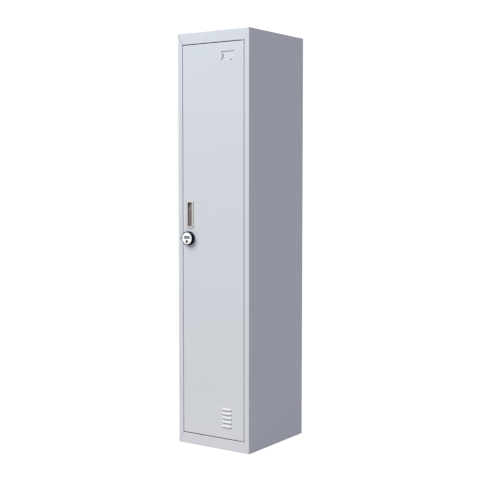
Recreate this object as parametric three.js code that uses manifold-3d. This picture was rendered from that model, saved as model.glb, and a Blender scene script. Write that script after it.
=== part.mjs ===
// A tall single-door steel locker: a folded sheet-metal carcass with mitred front flanges, a flush
// door on top and bottom pivots, a recessed pull, a round combination lock and a hat shelf with a
// coat rail inside. Millimetres, +Z up, front towards -Y, origin under the middle of the whole object.
import * as THREE from "three";
import { mergeVertices } from "three/addons/utils/BufferGeometryUtils.js";
import Module from "manifold-3d";

const wasm = await Module();
wasm.setup();

// ---------------------------------------------------------------- driving dimensions
const WIDTH = 385;
const DEPTH = 450;
const HEIGHT = 1850;
const SHEET = 0.8; // steel gauge of every panel
const BEND = 1.0; // inner radius of a fold
const GAP = 0.3; // clearance between pieces that touch
const SEAM = [2.2, 0.5]; // open mitres between two front flanges, left and right

const STILE = 25; // face width of the side panels' front flanges
const RAIL = 50; // face height of the roof's and the floor's front flanges
const REBATE = 22.5; // depth from the front face to the door stop
const STOP_LIP = 10; // how far the door stop reaches inwards
const GLIDE_HEIGHT = 2; // the sheet metal stands this far off the ground

const DOOR_SIDE_GAP = 2.5;
const DOOR_END_GAP = 4;
const DOOR_THICKNESS = 18;
const DOOR_LIP = 12; // edge returned behind the door's long sides
const PIVOT_FROM_EDGE = 9.5; // pivot axis to the door's hinge edge
const PIVOT_SETBACK = 6; // pivot axis behind the door's face

const LOCK_PROUD = 20; // how far the lock stands out of the door
const LOCK_RADIUS = 31.5;

// ---------------------------------------------------------------- planes and places
const FRONT = -(DEPTH - LOCK_PROUD) / 2;
const BACK = FRONT + DEPTH;
const LEFT = -WIDTH / 2;
const RIGHT = WIDTH / 2;
const INNER_WIDTH = WIDTH - 2 * (SHEET + GAP);
const OPENING_TOP = HEIGHT - RAIL;

const DOOR_LEFT = LEFT + STILE + DOOR_SIDE_GAP;
const DOOR_RIGHT = RIGHT - STILE - DOOR_SIDE_GAP;
const DOOR_BOTTOM = RAIL + DOOR_END_GAP;
const DOOR_TOP = OPENING_TOP - DOOR_END_GAP;
const PIVOT_X = DOOR_RIGHT - PIVOT_FROM_EDGE;
const PIVOT_Y = FRONT + PIVOT_SETBACK;

const LOCK_X = LEFT + 62;
const LOCK_Z = 938;
const HANDLE_X = LEFT + 65.5;
const HANDLE_Z = 1045;
const SHELF_Z = 1540;
const RAIL_Z = 1468;

// ---------------------------------------------------------------- materials
const paint = new THREE.MeshStandardMaterial({ color: 0xd2d5dc, roughness: 0.45, metalness: 0.1 });
const zinc = new THREE.MeshStandardMaterial({ color: 0xb9bcc0, roughness: 0.35, metalness: 0.9 });
const chrome = new THREE.MeshStandardMaterial({ color: 0xe9eaec, roughness: 0.12, metalness: 1 });
const beigePlastic = new THREE.MeshStandardMaterial({ color: 0xcfc8c2, roughness: 0.5 });
const blackPlastic = new THREE.MeshStandardMaterial({ color: 0x101218, roughness: 0.35 });
const whiteNylon = new THREE.MeshStandardMaterial({ color: 0xe6e6e2, roughness: 0.6 });
const blackRubber = new THREE.MeshStandardMaterial({ color: 0x1c1c1e, roughness: 0.85 });
const satinSteel = new THREE.MeshStandardMaterial({ color: 0xf1f1f3, roughness: 0.25, metalness: 0.8 });
const brass = new THREE.MeshStandardMaterial({ color: 0x7a6248, roughness: 0.4, metalness: 0.9 });
const wheelPlastic = new THREE.MeshStandardMaterial({ color: 0x6a6f80, roughness: 0.4 });

// ---------------------------------------------------------------- solid modelling helpers
// A closed three.js geometry as a manifold-3d solid.
function solid(geometry) {
  const bare = geometry.index ? geometry.toNonIndexed() : geometry.clone();
  bare.deleteAttribute("normal");
  bare.deleteAttribute("uv");
  const merged = mergeVertices(bare, 1e-4);
  return new wasm.Manifold(
    new wasm.Mesh({
      numProp: 3,
      vertProperties: new Float32Array(merged.attributes.position.array),
      triVerts: new Uint32Array(merged.index.array),
    }),
  );
}

// A manifold-3d solid as a three.js mesh.
function piece(name, shape, material) {
  const m = shape.getMesh();
  const corners = new Float32Array(m.numVert * 3);
  for (let i = 0; i < m.numVert; i++) {
    corners.set(m.vertProperties.subarray(i * m.numProp, i * m.numProp + 3), i * 3);
  }
  const geometry = new THREE.BufferGeometry();
  geometry.setAttribute("position", new THREE.BufferAttribute(corners, 3));
  geometry.setIndex(new THREE.BufferAttribute(new Uint32Array(m.triVerts), 1));
  geometry.computeVertexNormals();
  const mesh = new THREE.Mesh(geometry, material);
  mesh.name = name;
  return mesh;
}

function join(...shapes) {
  return shapes.reduce((a, b) => a.add(b));
}

function cut(shape, ...tools) {
  return tools.reduce((a, b) => a.subtract(b), shape);
}

// A box between two values on each axis.
function box(x0, x1, y0, y1, z0, z1) {
  const geometry = new THREE.BoxGeometry(x1 - x0, y1 - y0, z1 - z0);
  return solid(geometry.translate((x0 + x1) / 2, (y0 + y1) / 2, (z0 + z1) / 2));
}

// The frame that carries a drawing's own X, Y and extrusion direction onto the part's axes. A drawing
// along "z" is in X and Y, one along "x" is in Y and Z, and one along "y" is in X and Z.
const X = new THREE.Vector3(1, 0, 0);
const Y = new THREE.Vector3(0, 1, 0);
const Z = new THREE.Vector3(0, 0, 1);
const DRAWING = {
  x: new THREE.Matrix4().makeBasis(Y, Z, X),
  y: new THREE.Matrix4().makeBasis(X, Z, Y.clone().negate()),
  z: new THREE.Matrix4().makeBasis(X, Y, Z),
};

// A shape extruded along an axis between two values on it.
function extrude(shape, axis, from, to, curveSegments = 8) {
  const geometry = new THREE.ExtrudeGeometry(shape, {
    depth: to - from,
    bevelEnabled: false,
    curveSegments,
  });
  geometry.translate(0, 0, axis === "y" ? -to : from);
  return solid(geometry.applyMatrix4(DRAWING[axis]));
}

function polygon(points) {
  return new THREE.Shape(points.map(([u, v]) => new THREE.Vector2(u, v)));
}

function roundedRectangle(cu, cv, width, height, radius) {
  const u0 = cu - width / 2;
  const v0 = cv - height / 2;
  const u1 = cu + width / 2;
  const v1 = cv + height / 2;
  const shape = new THREE.Shape();
  shape.moveTo(u0 + radius, v0);
  shape.lineTo(u1 - radius, v0);
  shape.absarc(u1 - radius, v0 + radius, radius, -Math.PI / 2, 0);
  shape.lineTo(u1, v1 - radius);
  shape.absarc(u1 - radius, v1 - radius, radius, 0, Math.PI / 2);
  shape.lineTo(u0 + radius, v1);
  shape.absarc(u0 + radius, v1 - radius, radius, Math.PI / 2, Math.PI);
  shape.lineTo(u0, v0 + radius);
  shape.absarc(u0 + radius, v0 + radius, radius, Math.PI, 1.5 * Math.PI);
  return shape;
}

// A round bar of a radius about an axis through the point (u, v) of that axis's drawing.
function rod(axis, u, v, radius, from, to, sides = 24) {
  const circle = [];
  for (let i = 0; i < sides; i++) {
    const turn = (2 * Math.PI * i) / sides;
    circle.push([u + radius * Math.cos(turn), v + radius * Math.sin(turn)]);
  }
  return extrude(polygon(circle), axis, from, to);
}

// The outline of a folded sheet: its middle line goes through the points, each corner is a bend, and
// both skins follow it half a gauge away.
function foldedOutline(points, gauge = SHEET, bend = BEND, steps = 3) {
  const sides = [[], []];
  const middle = bend + gauge / 2;
  points.forEach(([u, v], i) => {
    const before = points[i - 1];
    const after = points[i + 1];
    const into = before ? new THREE.Vector2(u - before[0], v - before[1]).normalize() : null;
    const out = after ? new THREE.Vector2(after[0] - u, after[1] - v).normalize() : null;
    if (!into || !out) {
      const d = into || out;
      sides[0].push([u - (d.y * gauge) / 2, v + (d.x * gauge) / 2]);
      sides[1].push([u + (d.y * gauge) / 2, v - (d.x * gauge) / 2]);
      return;
    }
    const turn = Math.atan2(into.cross(out), into.dot(out));
    const left = Math.sign(turn);
    const reach = middle * Math.tan(Math.abs(turn) / 2);
    const centre = new THREE.Vector2(
      u - into.x * reach - into.y * middle * left,
      v - into.y * reach + into.x * middle * left,
    );
    for (let k = 0; k <= steps; k++) {
      const angle = (turn * k) / steps;
      const normal = new THREE.Vector2(into.y * left, -into.x * left).rotateAround(
        new THREE.Vector2(),
        angle,
      );
      const outer = [centre.x + normal.x * (bend + gauge), centre.y + normal.y * (bend + gauge)];
      const inner = [centre.x + normal.x * bend, centre.y + normal.y * bend];
      sides[0].push(left > 0 ? inner : outer);
      sides[1].push(left > 0 ? outer : inner);
    }
  });
  return polygon([...sides[0], ...sides[1].reverse()]);
}

const MID = SHEET / 2;
const BEND_STRIP = SHEET + BEND; // width of the rounded corner at a fold

// ---------------------------------------------------------------- carcass
// The side panel's section in plan: back flange, side, front flange, rebate wall and door stop.
function sidePanel(side) {
  const wall = side * (WIDTH / 2);
  const inward = -side;
  const at = (distance) => wall + inward * distance;
  const section = [
    [at(20), BACK - SHEET - GAP - MID],
    [at(MID), BACK - SHEET - GAP - MID],
    [at(MID), FRONT + MID],
    [at(STILE - MID), FRONT + MID],
    [at(STILE - MID), FRONT + REBATE + MID],
    [at(STILE + STOP_LIP), FRONT + REBATE + MID],
  ];
  const panel = extrude(foldedOutline(section), "z", GLIDE_HEIGHT, HEIGHT);
  // Above and below the opening the front flange ends on a mitre that runs from the corner of the
  // locker to the corner of the opening, and the rebate wall and stop end square.
  const mitre = (zOuter, zInner) => {
    const away = Math.sign(zInner - zOuter);
    const open = away * SEAM[side < 0 ? 0 : 1];
    const seam = (distance) => zOuter + ((zInner - zOuter) * distance) / STILE + open;
    const above = (d0, z0, y0) =>
      extrude(
        polygon([
          [at(d0), z0],
          [at(STILE), seam(STILE)],
          [at(STILE + STOP_LIP + 1), seam(STILE)],
          [at(STILE + STOP_LIP + 1), zOuter - away],
          [at(d0), zOuter - away],
        ]),
        "y",
        y0,
        FRONT + REBATE + SHEET + 1,
      );
    return [
      above(BEND_STRIP, seam(BEND_STRIP), FRONT - 1),
      above(STILE - BEND_STRIP, seam(STILE), FRONT + SHEET),
    ];
  };
  const bottomFlange = cut(
    box(
      Math.min(at(MID), at(20)),
      Math.max(at(MID), at(20)),
      FRONT + 30,
      BACK - 20,
      GLIDE_HEIGHT,
      GLIDE_HEIGHT + SHEET,
    ),
    ...GLIDE_ROWS.map((y) => rod("z", at(GLIDE_INSET), y, 3.3, 0, 2 * RAIL, 16)),
  );
  return join(
    cut(panel, ...mitre(HEIGHT, OPENING_TOP), ...mitre(GLIDE_HEIGHT, RAIL)),
    bottomFlange,
  );
}

const GLIDE_INSET = 12;
const GLIDE_ROWS = [FRONT + 42, BACK - 34];

// The two ends of a front flange, cut back along the mitre so that they meet the side panels.
function mitredEnds(zOuter, zInner) {
  const away = Math.sign(zInner - zOuter);
  return [-1, 1].map((side) => {
    const wall = side * (WIDTH / 2);
    const at = (distance) => wall - side * distance;
    const slope = (zInner - zOuter) / STILE;
    return extrude(
      polygon([
        [at(-2), zOuter - away],
        [at(BEND_STRIP + GAP), zOuter - away],
        [at(BEND_STRIP + GAP), zOuter + slope * BEND_STRIP],
        [at(STILE + GAP), zInner],
        [at(STILE + GAP), zInner + away * 20],
        [at(-2), zInner + away * 20],
      ]),
      "y",
      FRONT - 1,
      FRONT + SHEET + GAP,
    );
  });
}

// Everything beyond a half width, for trimming a pan's two sides.
function sideTrims(halfWidth, y0, y1, z0, z1) {
  return [box(-WIDTH, -halfWidth, y0, y1, z0, z1), box(halfWidth, WIDTH, y0, y1, z0, z1)];
}

const BACK_FLANGE_Y = BACK - 2 * (SHEET + GAP) - MID;
const PAN_FLANGE = 22; // how far a pan's side and back flanges fold down

function sideFlanges(zTop) {
  return [-1, 1].map((side) => {
    const outer = (side * INNER_WIDTH) / 2;
    const inner = outer - side * SHEET;
    return box(
      Math.min(outer, inner),
      Math.max(outer, inner),
      FRONT + REBATE + 20,
      BACK - 24,
      zTop - PAN_FLANGE,
      zTop - MID,
    );
  });
}

function roofPanel() {
  const section = [
    [FRONT + REBATE + MID, OPENING_TOP - STOP_LIP],
    [FRONT + REBATE + MID, OPENING_TOP + MID],
    [FRONT + MID, OPENING_TOP + MID],
    [FRONT + MID, HEIGHT - MID],
    [BACK_FLANGE_Y, HEIGHT - MID],
    [BACK_FLANGE_Y, HEIGHT - PAN_FLANGE],
  ];
  const sheet = extrude(foldedOutline(section), "x", LEFT, RIGHT);
  const trimmed = cut(
    sheet,
    ...mitredEnds(HEIGHT, OPENING_TOP),
    ...sideTrims(INNER_WIDTH / 2, FRONT + SHEET, BACK, OPENING_TOP - RAIL, HEIGHT + 1),
    ...sideTrims(INNER_WIDTH / 2 - BEND, BACK - 6, BACK, OPENING_TOP, HEIGHT + 1),
    ...sideTrims(
      WIDTH / 2 - STILE - STOP_LIP - 2 * GAP,
      FRONT + SHEET + GAP,
      FRONT + REBATE + 2,
      OPENING_TOP - RAIL,
      OPENING_TOP - GAP / 2,
    ),
  );
  return cut(
    join(trimmed, ...sideFlanges(HEIGHT)),
    rod("z", PIVOT_X, PIVOT_Y, 4.2, OPENING_TOP - 5, OPENING_TOP + 5),
  );
}

function floorPanel() {
  const section = [
    [FRONT + 15, GLIDE_HEIGHT + MID],
    [FRONT + MID, GLIDE_HEIGHT + MID],
    [FRONT + MID, RAIL - MID],
    [BACK_FLANGE_Y, RAIL - MID],
    [BACK_FLANGE_Y, RAIL - PAN_FLANGE],
  ];
  const sheet = extrude(foldedOutline(section), "x", LEFT, RIGHT);
  const trimmed = cut(
    sheet,
    ...mitredEnds(GLIDE_HEIGHT, RAIL),
    ...sideTrims(INNER_WIDTH / 2, FRONT + SHEET, BACK, 0, RAIL + 1),
    ...sideTrims(INNER_WIDTH / 2 - BEND, BACK - 6, BACK, 0, RAIL + 1),
  );
  return cut(
    join(trimmed, ...sideFlanges(RAIL)),
    rod("z", PIVOT_X, PIVOT_Y, 3.3, RAIL - 5, RAIL + 5),
  );
}

// A flat sheet stiffened by two shallow swages pressed inwards along most of its height.
function backPanel() {
  const y = BACK - MID;
  const deep = y - 4;
  const half = WIDTH / 2 - 2;
  const z0 = 180;
  const z1 = HEIGHT - 180;
  let sheet = box(-half, half, BACK - SHEET, BACK, GLIDE_HEIGHT, HEIGHT - SHEET - 1);
  for (const x of [-75, 75]) {
    const path = [
      [x - 17, y],
      [x - 13, y],
      [x - 9, deep],
      [x + 9, deep],
      [x + 13, y],
      [x + 17, y],
    ];
    const swage = extrude(foldedOutline(path, SHEET, BEND, 2), "z", z0, z1);
    const ends = [z0, z1 - SHEET].map((z) =>
      extrude(polygon(path.slice(1, 5)), "z", z, z + SHEET),
    );
    sheet = join(cut(sheet, box(x - 16, x + 16, BACK - 2, BACK + 1, z0, z1)), swage, ...ends);
  }
  return sheet;
}

// A glide: a disc under the side panel's bottom flange, with a stem snapped up through it.
function glide(side, y) {
  const x = side * (WIDTH / 2 - GLIDE_INSET);
  const disc = rod("z", x, y, 10.5, 0, GLIDE_HEIGHT - 0.2);
  const stem = rod("z", x, y, 3, 0, GLIDE_HEIGHT + 6);
  const barb = rod("z", x, y, 4, GLIDE_HEIGHT + SHEET + GAP, GLIDE_HEIGHT + 4);
  return join(disc, stem, barb);
}

// ---------------------------------------------------------------- shelf and coat rail
const SHELF_FRONT = FRONT + 42;
const SHELF_BACK = BACK_FLANGE_Y - 4;
const SHELF_HALF = INNER_WIDTH / 2 - 1;
const SCREW_ROWS = [SHELF_FRONT + 45, SHELF_BACK - 45];
const SCREW_INSET = 14;

function hatShelf() {
  const section = [
    [SHELF_FRONT + 12, SHELF_Z - 24 + MID],
    [SHELF_FRONT + MID, SHELF_Z - 24 + MID],
    [SHELF_FRONT + MID, SHELF_Z - MID],
    [SHELF_BACK - MID, SHELF_Z - MID],
    [SHELF_BACK - MID, SHELF_Z - 24],
  ];
  const tray = extrude(foldedOutline(section), "x", -SHELF_HALF, SHELF_HALF);
  const holes = [-1, 1].flatMap((side) =>
    SCREW_ROWS.map((y) =>
      rod("z", side * (SHELF_HALF - SCREW_INSET), y, 2.8, SHELF_Z - 3, SHELF_Z + 1, 16),
    ),
  );
  return cut(tray, ...holes);
}

// An angle spot-welded to the side panel, with one hole for the shelf's screw.
function shelfBracket(side, y) {
  const wall = side * (INNER_WIDTH / 2 + GAP / 2);
  const at = (distance) => wall - side * distance;
  const top = SHELF_Z - SHEET - GAP;
  const section = [
    [at(0.75), top - 26],
    [at(0.75), top - 0.75],
    [at(28), top - 0.75],
  ];
  const hole = rod("z", side * (SHELF_HALF - SCREW_INSET), y, 2.8, top - 5, top + 1, 16);
  return cut(extrude(foldedOutline(section, 1.5, 1), "y", y - 14, y + 14), hole);
}

function shelfScrew(side, y) {
  const x = side * (SHELF_HALF - SCREW_INSET);
  const head = rod("z", x, y, 4.6, SHELF_Z + 0.1, SHELF_Z + 2.3);
  const shank = rod("z", x, y, 2.4, SHELF_Z - 11, SHELF_Z + 1);
  const cross = join(
    box(x - 2.6, x + 2.6, y - 0.5, y + 0.5, SHELF_Z + 1.2, SHELF_Z + 3),
    box(x - 0.5, x + 0.5, y - 2.6, y + 2.6, SHELF_Z + 1.2, SHELF_Z + 3),
  );
  return cut(join(head, shank), cross);
}

function shelfNut(side, y) {
  const x = side * (SHELF_HALF - SCREW_INSET);
  const top = SHELF_Z - SHEET - GAP - 1.5 - 0.2;
  return cut(
    rod("z", x, y, 4.6, top - 4, top, 6),
    rod("z", x, y, 2.6, top - 5, top + 1, 16),
  );
}

const RAIL_Y = 8;
const RAIL_TALL = 30;
const RAIL_THICK = 15;

function coatRail() {
  const outer = roundedRectangle(RAIL_Y, RAIL_Z, RAIL_THICK, RAIL_TALL, RAIL_THICK / 2 - 0.01);
  const wall = 1.2;
  const inner = roundedRectangle(
    RAIL_Y,
    RAIL_Z,
    RAIL_THICK - 2 * wall,
    RAIL_TALL - 2 * wall,
    RAIL_THICK / 2 - wall - 0.01,
  );
  const half = INNER_WIDTH / 2 - 3;
  return cut(extrude(outer, "x", -half, half), extrude(inner, "x", -half - 1, half + 1));
}

// A stamped cradle: a plate on the side panel with an open-topped collar round the rail's end.
function railBracket(side) {
  const wall = side * (INNER_WIDTH / 2 + GAP / 2);
  const span = (a, b) => [Math.min(wall - side * a, wall - side * b), Math.max(wall - side * a, wall - side * b)];
  const plate = extrude(roundedRectangle(RAIL_Y, RAIL_Z - 2, 34, 52, 6), "x", ...span(0, 1.5));
  const collar = cut(
    extrude(roundedRectangle(RAIL_Y, RAIL_Z - 1, 19.4, 32, 9), "x", ...span(1, 12)),
    extrude(roundedRectangle(RAIL_Y, RAIL_Z, 15.8, 30.8, 7.8), "x", ...span(1.5, 13)),
    box(...span(1.5, 13), RAIL_Y - 7.9, RAIL_Y + 7.9, RAIL_Z, RAIL_Z + 40),
    box(...span(1.5, 13), RAIL_Y - 20, RAIL_Y + 20, RAIL_Z + 8, RAIL_Z + 40),
  );
  return join(plate, collar);
}

// ---------------------------------------------------------------- pivots
function hingePlate(z0, z1, holeRadius) {
  const plate = box(PIVOT_X - 32, PIVOT_X + 11, FRONT + SHEET + BEND + GAP, FRONT + 19, z0, z1);
  return cut(plate, rod("z", PIVOT_X, PIVOT_Y, holeRadius, z0 - 1, z1 + 1));
}

// A flanged plain bush on the pivot axis.
function bush(bore, sleeve, sleeve0, sleeve1, flange0, flange1) {
  return cut(
    join(
      rod("z", PIVOT_X, PIVOT_Y, sleeve, sleeve0, sleeve1),
      rod("z", PIVOT_X, PIVOT_Y, 5.9, flange0, flange1),
    ),
    rod("z", PIVOT_X, PIVOT_Y, bore, RAIL - 10, HEIGHT),
  );
}

function pivotPin() {
  return join(
    rod("z", PIVOT_X, PIVOT_Y, 3, RAIL - 6, DOOR_BOTTOM + 8),
    rod("z", PIVOT_X, PIVOT_Y, 4.4, RAIL - 6, RAIL - SHEET - 2.5 - 0.4),
  );
}

function pivotWasher() {
  return cut(
    rod("z", PIVOT_X, PIVOT_Y, 5.9, RAIL + 0.15, RAIL + 1.25),
    rod("z", PIVOT_X, PIVOT_Y, 3.2, RAIL - 1, RAIL + 3),
  );
}

// The spring bolt at the door's upper pivot: it stands up into the roof's rebate, and a finger tab
// draws it down inside the door so that the door comes off.
const BOLT_RADIUS = 2.5;
const BOLT_COLLAR_Z = DOOR_TOP - 18;
const EAR_LOW_Z = DOOR_TOP - 38;

function pivotBolt() {
  return join(
    rod("z", PIVOT_X, PIVOT_Y, BOLT_RADIUS, EAR_LOW_Z - 14, OPENING_TOP + 6),
    rod("z", PIVOT_X, PIVOT_Y, 4.1, BOLT_COLLAR_Z, BOLT_COLLAR_Z + 1.5),
    rod("x", PIVOT_Y, EAR_LOW_Z - 12, 2, PIVOT_X - 18, PIVOT_X, 16),
  );
}

function boltBracket() {
  const webOuter = DOOR_RIGHT - SHEET - GAP;
  const section = (z0) => box(PIVOT_X - 6, webOuter, FRONT + 1.3, FRONT + 13, z0, z0 + 1.5);
  const web = box(webOuter - 1.2, webOuter, FRONT + 1.3, FRONT + 13, EAR_LOW_Z, DOOR_TOP - 8);
  return cut(
    join(section(EAR_LOW_Z), section(DOOR_TOP - 9.5), web),
    rod("z", PIVOT_X, PIVOT_Y, BOLT_RADIUS + 0.25, EAR_LOW_Z - 2, DOOR_TOP),
  );
}

class Helix extends THREE.Curve {
  constructor(x, y, z0, z1, radius, turns) {
    super();
    Object.assign(this, { x, y, z0, z1, radius, turns });
  }
  getPoint(t, target = new THREE.Vector3()) {
    const angle = 2 * Math.PI * this.turns * t;
    return target.set(
      this.x + this.radius * Math.cos(angle),
      this.y + this.radius * Math.sin(angle),
      this.z0 + (this.z1 - this.z0) * t,
    );
  }
}

function boltSpring() {
  const wire = 0.45;
  const low = EAR_LOW_Z + 1.5 + wire + 0.15;
  const high = BOLT_COLLAR_Z - wire - 0.15;
  const path = new Helix(PIVOT_X, PIVOT_Y, low, high, 3.35, 6);
  const section = new THREE.Shape();
  section.absarc(0, 0, wire, 0, 2 * Math.PI);
  const geometry = new THREE.ExtrudeGeometry(section, {
    steps: 96,
    curveSegments: 3,
    bevelEnabled: false,
    extrudePath: path,
  });
  return solid(geometry);
}

// ---------------------------------------------------------------- door
const LOUVRE_COUNT = 5;
const LOUVRE_PITCH = 19;
const LOUVRE_WIDTH = 53;
const LOUVRE_X = LEFT + 266.4;
const LOUVRE_TOP = 191.4; // top of the highest hood
const LOUVRE_TALL = 10;
const LOUVRE_PROUD = 4;

// A hood pressed out of the skin: a sloped shell closed at its ends and open underneath.
function louvre(zTop) {
  const zLip = zTop - LOUVRE_TALL;
  const wedge = (inset, x0, x1) =>
    extrude(
      polygon([
        [FRONT + MID, zTop - inset],
        [FRONT - LOUVRE_PROUD + inset, zLip + 2],
        [FRONT - LOUVRE_PROUD + inset, zLip - (inset ? 1 : 0)],
        [FRONT + MID, zLip - (inset ? 1 : 0)],
      ]),
      "x",
      x0,
      x1,
    );
  const x0 = LOUVRE_X - LOUVRE_WIDTH / 2;
  const x1 = LOUVRE_X + LOUVRE_WIDTH / 2;
  return cut(wedge(0, x0, x1), wedge(SHEET, x0 + SHEET, x1 - SHEET));
}

const LABEL_LEFT = LEFT + 238;
const LABEL_RIGHT = LEFT + 306;
const LABEL_TOP = HEIGHT - 93;
const LABEL_BOTTOM = HEIGHT - 131;
const LABEL_DEPTH = 1.6;

// The card holder: a shallow pressed recess, with a tongue over its left end and a lug across its
// lower right corner that grip the card.
function labelRecess() {
  const tray = cut(
    box(
      LABEL_LEFT - SHEET,
      LABEL_RIGHT + SHEET,
      FRONT,
      FRONT + LABEL_DEPTH + SHEET,
      LABEL_BOTTOM - SHEET,
      LABEL_TOP + SHEET,
    ),
    box(LABEL_LEFT, LABEL_RIGHT, FRONT - 1, FRONT + LABEL_DEPTH, LABEL_BOTTOM, LABEL_TOP),
  );
  const tongue = [
    [LABEL_LEFT - SHEET, LABEL_TOP - 11],
    [LABEL_LEFT + 8, LABEL_TOP - 11],
    [LABEL_LEFT + 10, LABEL_TOP - 13],
    [LABEL_LEFT + 10, LABEL_TOP - 25],
    [LABEL_LEFT + 1, LABEL_TOP - 35],
    [LABEL_LEFT - SHEET, LABEL_TOP - 35],
  ];
  const lug = [
    [LABEL_RIGHT - 14, LABEL_BOTTOM - SHEET],
    [LABEL_RIGHT + SHEET, LABEL_BOTTOM - SHEET],
    [LABEL_RIGHT + SHEET, LABEL_BOTTOM + 9],
    [LABEL_RIGHT - 1, LABEL_BOTTOM + 9],
    [LABEL_RIGHT - 14, LABEL_BOTTOM],
  ];
  const grips = [tongue, lug].map((outline) =>
    extrude(polygon(outline), "y", FRONT, FRONT + SHEET),
  );
  return [tray, ...grips];
}

function doorSkin() {
  const back = FRONT + DOOR_THICKNESS - MID;
  const section = [
    [DOOR_LEFT + DOOR_LIP, back],
    [DOOR_LEFT + MID, back],
    [DOOR_LEFT + MID, FRONT + MID],
    [DOOR_RIGHT - MID, FRONT + MID],
    [DOOR_RIGHT - MID, back],
    [DOOR_RIGHT - DOOR_LIP, back],
  ];
  const shell = extrude(foldedOutline(section), "z", DOOR_BOTTOM, DOOR_TOP);
  const ends = [DOOR_BOTTOM, DOOR_TOP - SHEET].map((z) =>
    box(DOOR_LEFT + MID, DOOR_RIGHT - MID, FRONT + MID, FRONT + DOOR_THICKNESS - MID, z, z + SHEET),
  );
  const slots = [];
  const hoods = [];
  for (let i = 0; i < LOUVRE_COUNT; i++) {
    const zTop = LOUVRE_TOP - i * LOUVRE_PITCH;
    const inset = LOUVRE_WIDTH / 2 - SHEET;
    slots.push(
      box(LOUVRE_X - inset, LOUVRE_X + inset, FRONT - 1, FRONT + 2, zTop - LOUVRE_TALL, zTop - 2),
    );
    hoods.push(louvre(zTop));
  }
  const labelHole = box(
    LABEL_LEFT,
    LABEL_RIGHT,
    FRONT - 1,
    FRONT + 2,
    LABEL_BOTTOM,
    LABEL_TOP,
  );
  const openings = [
    extrude(roundedRectangle(HANDLE_X, HANDLE_Z, 35, 114, 3), "y", FRONT - 1, FRONT + 3, 4),
    rod("y", LOCK_X, LOCK_Z, 9.8, FRONT - 1, FRONT + 3, 32),
    rod("z", PIVOT_X, PIVOT_Y, 4.2, DOOR_BOTTOM - 1, DOOR_BOTTOM + 3),
    rod("z", PIVOT_X, PIVOT_Y, 4.2, DOOR_TOP - 3, DOOR_TOP + 1),
  ];
  return join(
    cut(join(shell, ...ends), ...slots, labelHole, ...openings),
    ...hoods,
    ...labelRecess(),
  );
}

// A hat section spot-welded to the back of the skin.
function doorStiffener() {
  const x = LEFT + 165;
  const near = FRONT + SHEET + GAP + MID;
  const far = FRONT + DOOR_THICKNESS - 2.5;
  const section = [
    [x - 38, near],
    [x - 22, near],
    [x - 22, far],
    [x + 22, far],
    [x + 22, near],
    [x + 38, near],
  ];
  return extrude(foldedOutline(section), "z", DOOR_BOTTOM + 20, DOOR_TOP - 20);
}

function doorBumper(z) {
  const x = LEFT + STILE + 5.3;
  const seat = FRONT + REBATE - 0.1;
  return join(
    rod("y", x, z, 3.4, FRONT + DOOR_THICKNESS + GAP, seat, 20),
    rod("y", x, z, 4.2, FRONT + DOOR_THICKNESS + 1.5, seat, 20),
  );
}

// ---------------------------------------------------------------- recessed pull
const PULL_WIDTH = 40;
const PULL_HEIGHT = 120;
const PULL_PROUD = 3.4;
const PULL_DEPTH = 14;
const PULL_MOUTH_WIDTH = 22;
const PULL_MOUTH_HEIGHT = 106.5;

// One moulding: a bezel on the door's face and a tub behind it that widens behind the bezel, so
// that fingers can hook round its edge.
function pullHandle() {
  const bezel = extrude(
    roundedRectangle(HANDLE_X, HANDLE_Z, PULL_WIDTH, PULL_HEIGHT, 6),
    "y",
    FRONT - PULL_PROUD,
    FRONT - 0.1,
    5,
  );
  const tub = extrude(
    roundedRectangle(HANDLE_X, HANDLE_Z, 34.2, 113.2, 3),
    "y",
    FRONT - 1,
    FRONT + PULL_DEPTH,
    4,
  );
  const mouth = extrude(
    roundedRectangle(HANDLE_X, HANDLE_Z, PULL_MOUTH_WIDTH, PULL_MOUTH_HEIGHT, 2.5),
    "y",
    FRONT - PULL_PROUD - 1,
    FRONT + 3,
    4,
  );
  const pocket = extrude(
    roundedRectangle(HANDLE_X, HANDLE_Z, PULL_MOUTH_WIDTH + 6, PULL_MOUTH_HEIGHT + 4, 3),
    "y",
    FRONT + 1.2,
    FRONT + PULL_DEPTH - 1.6,
    4,
  );
  return cut(join(bezel, tub), mouth, pocket);
}

// A spring-steel frame pushed over the tub behind the door's skin.
function pullRetainer() {
  const y0 = FRONT + SHEET + GAP;
  return cut(
    extrude(roundedRectangle(HANDLE_X, HANDLE_Z, 44, 124, 4), "y", y0, y0 + 1, 3),
    extrude(roundedRectangle(HANDLE_X, HANDLE_Z, 34.9, 113.9, 3.2), "y", y0 - 1, y0 + 3, 3),
  );
}

// ---------------------------------------------------------------- combination lock
const FACE = FRONT - LOCK_PROUD;
const BASE_FRONT = FRONT - 3;
const KNOB_BACK = BASE_FRONT - GAP;
const FACE_RADIUS = 26.5;
const FACE_THICK = 1.2;
const DISC = FACE + 0.8; // the disc lies a little below the wheels and the key plug
const KNOB_GRIPS = 16;
const WHEEL_RADIUS = 6.3;
const WHEEL_COUNT = 4;
const WHEEL_PITCH = 7.4;
const WHEEL_WIDTH = 6.9;
const WHEEL_Y = FACE + WHEEL_RADIUS;
const WHEEL_Z = LOCK_Z + 4.5;
const WINDOW_WIDTH = WHEEL_COUNT * WHEEL_PITCH + 0.6;
const WINDOW_HEIGHT = 2 * WHEEL_RADIUS + 0.6;
const KEY_Z = LOCK_Z - 14;
const KEY_RADIUS = 7;
const SPINDLE_RADIUS = 5.8;
const CAM_Y = FRONT + 24.5;
const CAM_THICK = 2.5;
const CAM_REACH = 42;

function window(y0, y1) {
  return box(
    LOCK_X - WINDOW_WIDTH / 2,
    LOCK_X + WINDOW_WIDTH / 2,
    y0,
    y1,
    WHEEL_Z - WINDOW_HEIGHT / 2,
    WHEEL_Z + WINDOW_HEIGHT / 2,
  );
}

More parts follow.
